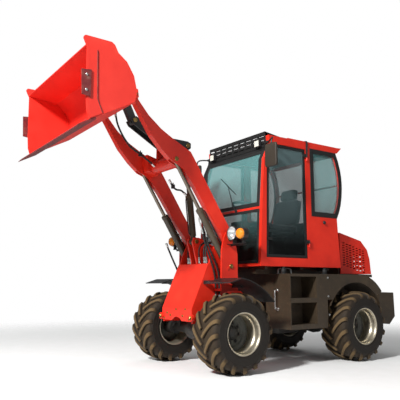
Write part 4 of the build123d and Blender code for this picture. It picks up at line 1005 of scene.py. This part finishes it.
# %% Handle and grab bars
FOOT = [(19, 0), (19, 5), (12, 7)]
grip = eased(
    [
        (128, 470, 984), (128, 470, 1020), (124, 470, 1048), (-64, 470, 1048), (-68, 470, 1020),
        (-68, 470, 984)
    ],
    3
)
feet = [turned([(20, 0), (20, 5), (12, 7)], (x, 470, 984), (0, 0, 1), steps=24) for x in (128, -68)]
piece("step_box_handle", "rear", bright_zinc, [tube(grip, 8, sides=14)] + feet)
rails = []
for side in (1, -1):
    upper_half = [(160, 493, 805), (196, 493, 805), (207, 493, 800), (207, 493, 700)]
    grab = eased(upper_half + [(207, 493, 609), (196, 493, 604), (160, 493, 604)], 2)
    rails.append(tube(grab * (1, side, 1), 9, sides=16))
    rails += [turned(FOOT, (165, side * 493, z), (1, 0, 0), steps=24) for z in (604, 805)]
piece("step_box_grab_bars", "rear", bright_zinc, rails)

# %% [markdown]
# ## Beams and mounts below the cab
# A cab stands on cross-beams and four rubber mounts, so one can't look straight through under its floor.
# The mount is a turned stack: a plate, a waisted rubber body, a second plate and a bolt. A plain block
# would block the view as well, but the waist is what makes it read as rubber.

# %% Beams and rubber mounts
under = [bar(x, x + wide, -520, 520, 1031, 1063) for x, wide in ((334, 32), (-206, 36), (-640, 36))]
under.append(bar(150, 158, -299, 299, 806, 1063))
for side in (1, -1):
    low, high = sorted((side * 362, side * 370))
    under.append(bar(-690, 370, low, high, 984, 1063))
piece("cab_cross_beams", "rear", chassis_enamel, under, bevel=2)
MOUNT = [
    (34, 0), (34, 6), (26, 8), (30, 20), (31, 34), (28, 48), (22, 58), (30, 60), (30, 66), (14, 68),
    (14, 76)
]
mounts = [turned(MOUNT, (x, side * 560, 986), (0, 0, 1), steps=32) for x in (-520, 130) for side in (1, -1)]
piece("cab_rubber_mounts", "rear", seal_rubber, mounts)

# %% [markdown]
# ## Wiper
# The wiper is an arm that tapers from its spindle and a blade beside the glass. A tube whose radius changes
# along the path gives the taper.

# %% Wiper
wiper = [
    tube([(452, 120, 1702), (446, 60, 1800), (420, -60, 2040)], [7, 5, 3.5]),
    tube([(450, 130, 1900), (424, -180, 2130)], 5)
]
wiper += [turned([(20, 0), (20, 10), (10, 16)], (440, 125, 1702), (1, 0, 0), steps=24)]
piece("front_wiper", "rear", moulded_black, wiper)

# %% [markdown]
# ## Pins
# Pins of a loader are turned steel with a bright passivated end, held by a small keeper plate. Their places
# come from the drawing's linkage points, so each head sits on its own pin and moves with the body that
# carries it. A pin end is a profile turned about Y, with a shallow centre hole as the lathe leaves it.

# %% Linkage points and pin heads
BOOM_PIVOT, LIFT_BASE, LIFT_EYE, BUCKET_PIN = (770, 1350), (750, 1060), (1425, 2140), (1925, 2735)
TILT_BASE, TILT_EYE, CRANK_PIN = (949, 1336), (1070, 2400), (1330, 2360)
CRANK_END, LINK_PIN = (1735, 2580), (1930, 2980)
PIN_END = [(24, -3), (24, 1), (22.5, 3), (9, 3.4), (8, 1.5), (4, 1)]


def pin_ends(place, y, profile=PIN_END):
    """Both ends of a cross pin at (x, z), standing out at +y and -y."""
    return [turned(profile, (place[0], side * y, place[1]), (0, side, 0), steps=36) for side in (1, -1)]


def keepers(place, y, lean):
    """A keeper plate beside each end of a pin: a short bar turned by lean about the pin."""
    made = []
    for side in (1, -1):
        low, high = sorted((side * y, side * (y + 5)))
        points, quads = bar(30, 62, low, high, -11, 11)
        c, s = math.cos(lean), math.sin(lean)
        made.append((points @ np.array([(c, 0, s), (0, 1, 0), (-s, 0, c)]) + (place[0], 0, place[1]), quads))
    return made


front_pins = pin_ends(BOOM_PIVOT, 423) + pin_ends(LIFT_BASE, 423) + pin_ends(TILT_BASE, 64)
piece("front_pins", "front", brassy_zinc, front_pins)
piece("boom_pins", "boom", brassy_zinc, pin_ends(LIFT_EYE, 393) + pin_ends(CRANK_PIN, 95))
piece("bucket_pins", "bucket", brassy_zinc, pin_ends(BUCKET_PIN, 415) + pin_ends(LINK_PIN, 62))
piece("crank_pins", "bellcrank", brassy_zinc, pin_ends(TILT_EYE, 69) + pin_ends(CRANK_END, 69))
plates = keepers(BOOM_PIVOT, 415, 2.2) + keepers(LIFT_BASE, 415, -0.6)
piece("pin_keepers", "front", red_enamel, plates, bevel=1.5)

# %% [markdown]
# ## Bolts and weld lines
# Skirts, the cover's foot, the side cutters and the bucket's edge are bolted: hexagon heads on plates that
# come off for service, low round heads where the load slides past. The stiffened side plates of the bucket
# are welded on, and a thin tube half sunk in the plate gives the bead; its dark maroon coat draws a dark line
# along the plate's edge, painted shade for the shadow of the plate's step. Bump could draw the heads, but
# then they'd cast no shadow.

# %% Bolts on plates
left_skirt = [(x, 695, z) for x, z in ((-421, 944), (-423, 737), (-431, 532))]
skirt = hexagons(left_skirt, (0, 1, 0), 16, 8)
skirt += hexagons([(x, -y, z) for x, y, z in left_skirt], (0, -1, 0), 16, 8)
piece("skirt_bolts", "rear", bright_zinc, skirt)
FOOT_BOLTS = ((-185, 567), (174, 614), (-6, 608), (-247, 510), (240, 510), (120, 545), (-120, 545))
foot_places = [(1168, y, z) for y, z in FOOT_BOLTS]
boss_places = [(1188, side * 295, 530) for side in (1, -1)]
cover_bolts = hexagons(foot_places, (1, 0, 0), 16, 8) + hexagons(boss_places, (1, 0, 0), 30, 12)
piece("cover_bolts", "front", brassy_zinc, cover_bolts)
cutters = [(x, side * 818, z, side) for side in (1, -1) for x, z in ((2600, 2505), (2600, 2640))]
cutter_bolts = [part for x, y, z, side in cutters for part in domes([(x, y, z)], (0, side, 0), 13, 8)]
piece("cutter_bolts", "bucket", bright_zinc, cutter_bolts)
edge_places = [(2561, middle + shift, 2264) for middle in (-640, -320, 0, 320, 640) for shift in (-85, 85)]
piece("edge_bolts", "bucket", bright_zinc, domes(edge_places, (0.477, 0, 0.879), 14, 8))
BEAD = ((2504, 2884), (2498, 2660), (2492, 2447), (2466, 2385), (2441, 2330))
# The beads take the dark maroon primer, which draws a dark line on the plate: painted shade for the shadow
# along the plate's step.
weld_beads_shade_line = [tube([(x, side * 802, z) for x, z in BEAD], 6, sides=8) for side in (1, -1)]
piece("side_plate_welds_shade_line", "bucket", maroon_edge, weld_beads_shade_line)

# %% [markdown]
# ## Cylinder heads and ports
# A cylinder ends in a screwed gland that the rod runs through: a ring a little wider than the barrel with a
# turned-in lip. A hexagon port stands beside it. The gland is a looped profile, since a hole cut through a
# solid one would need a boolean for the same ring.


# %% Glands and ports
def gland(base, eye, y, reach, barrel_r, rod_r):
    """A screwed gland at a cylinder's head: a looped profile round the rod, from 34 mm before the end to 9
    mm past it."""
    run = unit((eye[0] - base[0], 0, eye[1] - base[1]))
    head = np.array([base[0], y, base[1]], float) + run * reach
    profile = [
        (barrel_r + 1, -34), (barrel_r + 3.5, -31), (barrel_r + 3.5, 0), (barrel_r + 2, 3),
        (barrel_r - 4, 3), (barrel_r - 5, 9), (rod_r + 1.5, 9), (rod_r + 0.8, 6), (rod_r + 0.8, -34),
    ]
    port = head - run * 26
    return [turned(profile, head, run, steps=40, looped=True)], port, run


LIFT_Y, LIFT_HEAD, LIFT_BARREL_R, LIFT_ROD_R = 350, 690, 36, 19
TILT_HEAD, TILT_BARREL_R, TILT_ROD_R = 520, 42, 24
lift_heads, ports = [], []
for side in (1, -1):
    ring, port, run = gland(LIFT_BASE, LIFT_EYE, side * LIFT_Y, LIFT_HEAD, LIFT_BARREL_R, LIFT_ROD_R)
    lift_heads += ring
    out = unit(np.cross((0, 1, 0), run))
    ports += [turned([(11, 30), (11, 50), (8, 52)], port, -out, steps=6)]
piece("lift_glands", "lift_barrels", cylinder_enamel, lift_heads)
piece("lift_ports", "lift_barrels", bright_zinc, ports)
tilt_head = gland(TILT_BASE, TILT_EYE, 0, TILT_HEAD, TILT_BARREL_R, TILT_ROD_R)[0]
piece("tilt_gland", "tilt_barrel", cylinder_enamel, tilt_head)

# %% [markdown]
# ## Pipes along the barrels
# Oil reaches a cylinder's far end by a pipe that lies along the barrel and bends in at both ends. The path
# is laid off from the cylinder's own axis, so the pipe stays parallel to it at any lean.


# %% Barrel pipes
def barrel_pipe(base, eye, y, first, last, away, lift):
    """A steel pipe beside a barrel: bent away at both ends, at a distance from the axis in X-Z and lift in
    Y."""
    run = unit((eye[0] - base[0], 0, eye[1] - base[1]))
    out = unit(np.cross((0, 1, 0), run)) * away + np.array([0, lift, 0])
    start = np.array([base[0], y, base[1]], float)
    knots = [
        (first, 0.55), (first + 8, 1.0), (first + 60, 1.05), (last - 60, 1.05), (last - 8, 1.0),
        (last, 0.55)
    ]
    return tube(eased([start + run * along + out * share for along, share in knots], 2), 6.5, sides=10)


pipes = [barrel_pipe(LIFT_BASE, LIFT_EYE, side * LIFT_Y, 70, 660, -50, side * 6) for side in (1, -1)]
piece("lift_barrel_pipes", "lift_barrels", seal_rubber, pipes)
tilt_pipe = barrel_pipe(TILT_BASE, TILT_EYE, 0, 80, 490, 56, 8)
piece("tilt_barrel_pipe", "tilt_barrel", seal_rubber, [tilt_pipe])

# %% [markdown]
# ## Held hoses
# Hydraulic hose is black wire-braided rubber with crimped steel ends. These are held at both ends, so their
# route is fixed and they're plain tubes. Each follows a few points read off the drawing, with the corners
# cut three times. A hose that spans a joint rides on the side that it is clamped to.


# %% Hoses with crimped ends
def hose(name, body, path, radius=11):
    """A tube along eased (x, y, z) points, and a crimped sleeve with its nut at each end."""
    line = eased(path, 3)
    piece(name, body, seal_rubber, [tube(line, radius, sides=14)])
    crimp = [(radius + 2.5, -4), (radius + 3.5, 0), (radius + 3.5, 26)]
    sleeve = crimp + [(radius + 1, 28), (radius + 4, 28), (radius + 4, 40), (radius - 1, 41)]
    ends = []
    for first, second in ((line[0], line[1]), (line[-1], line[-2])):
        run = unit(first - second)
        ends.append(turned(sleeve, first - run * 18, run, steps=12))
    piece(f"{name}_ends", body, bright_zinc, ends, crease=25)


def flat_path(points, y):
    """Side points (x, z) as (x, y, z), all at one y."""
    return [(x, y, z) for x, z in points]


TOWER_HOSE_Y, TOWER_HOSE_R = 300.5, 9.8
front_run = flat_path(
    [(1040, 1420), (1015, 1330), (982, 1239), (909, 1072), (871, 936), (866, 741)], TOWER_HOSE_Y
)
rear_run = flat_path(
    [(985, 1390), (975, 1310), (944, 1233), (854, 1073), (818, 936), (822, 741)], TOWER_HOSE_Y
)
right_run = flat_path(
    [(1112, 1310), (1092, 1268), (1030, 1145), (961, 1021), (928, 900), (918, 760)], -TOWER_HOSE_Y
)
hose("tower_hose_front", "front", front_run, TOWER_HOSE_R)
hose("tower_hose_rear", "front", rear_run, TOWER_HOSE_R)
hose("tower_hose_right", "front", right_run, TOWER_HOSE_R)
boom_line = [
    (1860, -150, 2670), (1842, -140, 2560), (1769, -130, 2422), (1687, -118, 2328), (1575, -108, 2265),
    (1473, -104, 2205), (1415, -104, 2165)
]
hose("boom_hose", "boom", boom_line, 10)
tilt_line = flat_path([(1262, 1984), (1230, 1936), (1183, 1896), (1118, 1902), (1065, 1863)], 0)
hose("tilt_hose", "tilt_barrel", tilt_line, 10)

# %% [markdown]
# ## Clips, couplings and leads
# Hoses are held by moulded clips with a screw. At the tower's top, plated couplings screw onto the block
# behind the cover, with leads that bend back towards the pump, and two steel pipes start where the tower's
# hoses end. A coupling is one turned profile with two collars, which is all that shows of a real one at
# this size.

# %% Clips, couplings and steel pipes
CLIP_SCREW = [(7, -14), (7, 26), (4, 29)]
clip_places = [
    ("boom_hose_clip", "boom", (1575, -108, 2265)), ("tilt_hose_clip", "tilt_barrel", (1222, 0, 1930))
]
for name, body, (x, y, z) in clip_places:
    block = bar(x - 16, x + 16, y - 17, y + 17, z - 22, z + 22)
    screw = turned(CLIP_SCREW, (x, y, z + 14), (0, 0, 1), steps=6)
    piece(name, body, moulded_black, [block, screw], bevel=4)
COUPLING = [(10, 0), (16, 0), (16, 14), (12, 16), (12, 40), (17, 42), (17, 62), (13, 64), (13, 104), (9, 106)]
couplings, leads = [], []
for y in (-120, -80, 95, 190, 225):
    couplings.append(turned(COUPLING, (926, y, 1057), (0.12, 0, 1), steps=18))
    lead = [
        (939, y, 1158), (945, y, 1205), (936, y * 0.96, 1262), (900, y * 0.92, 1310), (840, y * 0.9, 1330),
        (770, y * 0.88, 1318)
    ]
    leads.append(tube(eased(lead, 3), 9, sides=12))
piece("tower_couplings", "front", bright_zinc, couplings)
piece("tower_leads", "front", seal_rubber, leads)
steel = []
for x, z in ((1036, 1412), (982, 1384)):
    rising = [(x, 306, z), (x + 26, 306, z + 60), (x + 60, 318, z + 120), (x + 66, 330, z + 150)]
    steel.append(tube(eased(rising, 2), 8, sides=12))
piece("tower_steel_pipes", "front", bright_zinc, steel)

# %% [markdown]
# ## Floor
# A pale floor gives the machine its contact shadow. It fades out with distance from the middle, worked out
# from its own Object coordinates, so that no horizon line shows against the white surroundings.

# %% Pale floor
floor_mesh = bpy.data.meshes.new("floor")
floor_mesh.from_pydata(
    [(-30, -30, -0.002), (30, -30, -0.002), (30, 30, -0.002), (-30, 30, -0.002)], [], [(0, 1, 2, 3)]
)
floor = bpy.data.objects.new("floor", floor_mesh)
bpy.context.scene.collection.objects.link(floor)
floor_finish = bpy.data.materials.new("pale_matte_studio_floor")
floor_finish.use_nodes = True
tree = floor_finish.node_tree
floor_shader = tree.nodes["Principled BSDF"]
floor_shader.inputs["Roughness"].default_value = 0.9
floor_shader.inputs["Specular IOR Level"].default_value = 0.1
where = add(tree, "ShaderNodeTexCoord").outputs["Object"]
far = add(tree, "ShaderNodeVectorMath", links={0: where}, operation="LENGTH").outputs["Value"]
grain = add(tree, "ShaderNodeTexNoise", {"Scale": 6, "Detail": 6}, {"Vector": where}).outputs["Fac"]
tone = add(tree, "ShaderNodeValToRGB", links={"Fac": grain}, stops=[(0.3, "#F4F4F2"), (0.7, "#F8F8F7")])
tree.links.new(tone.outputs["Color"], floor_shader.inputs["Base Color"])
share = add(
    tree, "ShaderNodeMapRange", {"From Min": 3.2, "From Max": 8.5}, {"Value": far},
    interpolation_type="SMOOTHSTEP"
)
clear = add(tree, "ShaderNodeBsdfTransparent")
blend = add(
    tree,
    "ShaderNodeMixShader",
    links={"Fac": share.outputs["Result"], 1: floor_shader.outputs["BSDF"], 2: clear.outputs["BSDF"]},
)
tree.links.new(blend.outputs["Shader"], tree.nodes["Material Output"].inputs["Surface"])
floor_mesh.materials.append(floor_finish)
print("floor fades between 3.2 and 8.5 m")

# %% [markdown]
# ## World
# The world is white where the camera sees it and dimmer where it lights the machine, or else the paint
# would lose its form. It darkens towards the ground, so that lower faces stay deeper in tone than the roof.

# %% World
world = bpy.data.worlds.new("white_studio")
bpy.context.scene.world = world
world.use_nodes = True
sky = world.node_tree
behind = add(sky, "ShaderNodeBackground", {"Color": (1, 1, 1, 1), "Strength": 1.0})
direction = add(sky, "ShaderNodeTexCoord").outputs["Generated"]
height = add(sky, "ShaderNodeSeparateXYZ", links={"Vector": direction}).outputs["Z"]
rise = add(sky, "ShaderNodeMapRange", {"From Min": -0.4, "From Max": 0.9}, {"Value": height})
shades = add(
    sky, "ShaderNodeValToRGB", links={"Fac": rise.outputs["Result"]},
    stops=[(0.0, "#8E8C88"), (0.35, "#B4B6B8"), (1.0, "#F6F8FA")]
)
soft = add(sky, "ShaderNodeBackground", {"Strength": 0.33}, {"Color": shades.outputs["Color"]})
seen = add(sky, "ShaderNodeLightPath").outputs["Is Camera Ray"]
either = add(
    sky, "ShaderNodeMixShader",
    links={"Fac": seen, 1: soft.outputs["Background"], 2: behind.outputs["Background"]}
)
sky.links.new(either.outputs["Shader"], sky.nodes["World Output"].inputs["Surface"])
bpy.context.scene.view_settings.view_transform = "Standard"
print("world made")

# %% [markdown]
# ## Soft boxes
# Three area lights. A small strong one, high in front, stands for the sun: its height and side are the ones
# at which the bucket shades the arms down to their bend and leaves the front cover lit. A large weak one on
# the camera's side fills the side faces, and one behind draws a bright line on the roof.


# %% Lights
def soft_box(name, place, target, size, power):
    """An area light of size metres at a place, turned so that its -Z looks at the target."""
    data = bpy.data.lights.new(name, "AREA")
    data.size, data.energy = size, power
    lamp = bpy.data.objects.new(name, data)
    lamp.location = place
    look = mathutils.Vector(target) - mathutils.Vector(place)
    lamp.rotation_euler = look.to_track_quat("-Z", "Y").to_euler()
    bpy.context.scene.collection.objects.link(lamp)


soft_box("sun_side_box", (8.8, 3.65, 6.5), (1.0, 0, 1.4), 1.1, 1700)
soft_box("camera_side_box", (0.0, 9.0, 3.5), (0, 0, 1.2), 4.5, 85)
soft_box("back_box", (-5.5, -4.5, 6.0), (0, 0, 1.5), 4.0, 110)
print("lights:", [lamp.name for lamp in bpy.data.lights])

# %% [markdown]
# ## Camera
# The lens follows from the photograph's vanishing lines. Its place and turn were then fitted to the wheel
# centres, the cab's corners and the bucket's corners.

# %% Camera
camera_data = bpy.data.cameras.new("photo_camera")
camera_data.lens, camera_data.sensor_width = 48.84, 36
camera = bpy.data.objects.new("photo_camera", camera_data)
camera.location = (3.9549, 4.985, 0.866)
camera.rotation_euler = (math.radians(98.87), 0, math.radians(145.25))
bpy.context.scene.collection.objects.link(camera)
bpy.context.scene.camera = camera
print("camera", [round(v, 3) for v in camera.location])

# %% [markdown]
# ## Last update
# The view layer is brought up to date. The dressed model may not be larger than its CAD frame.

# %% Update the view layer
bpy.context.view_layer.update()
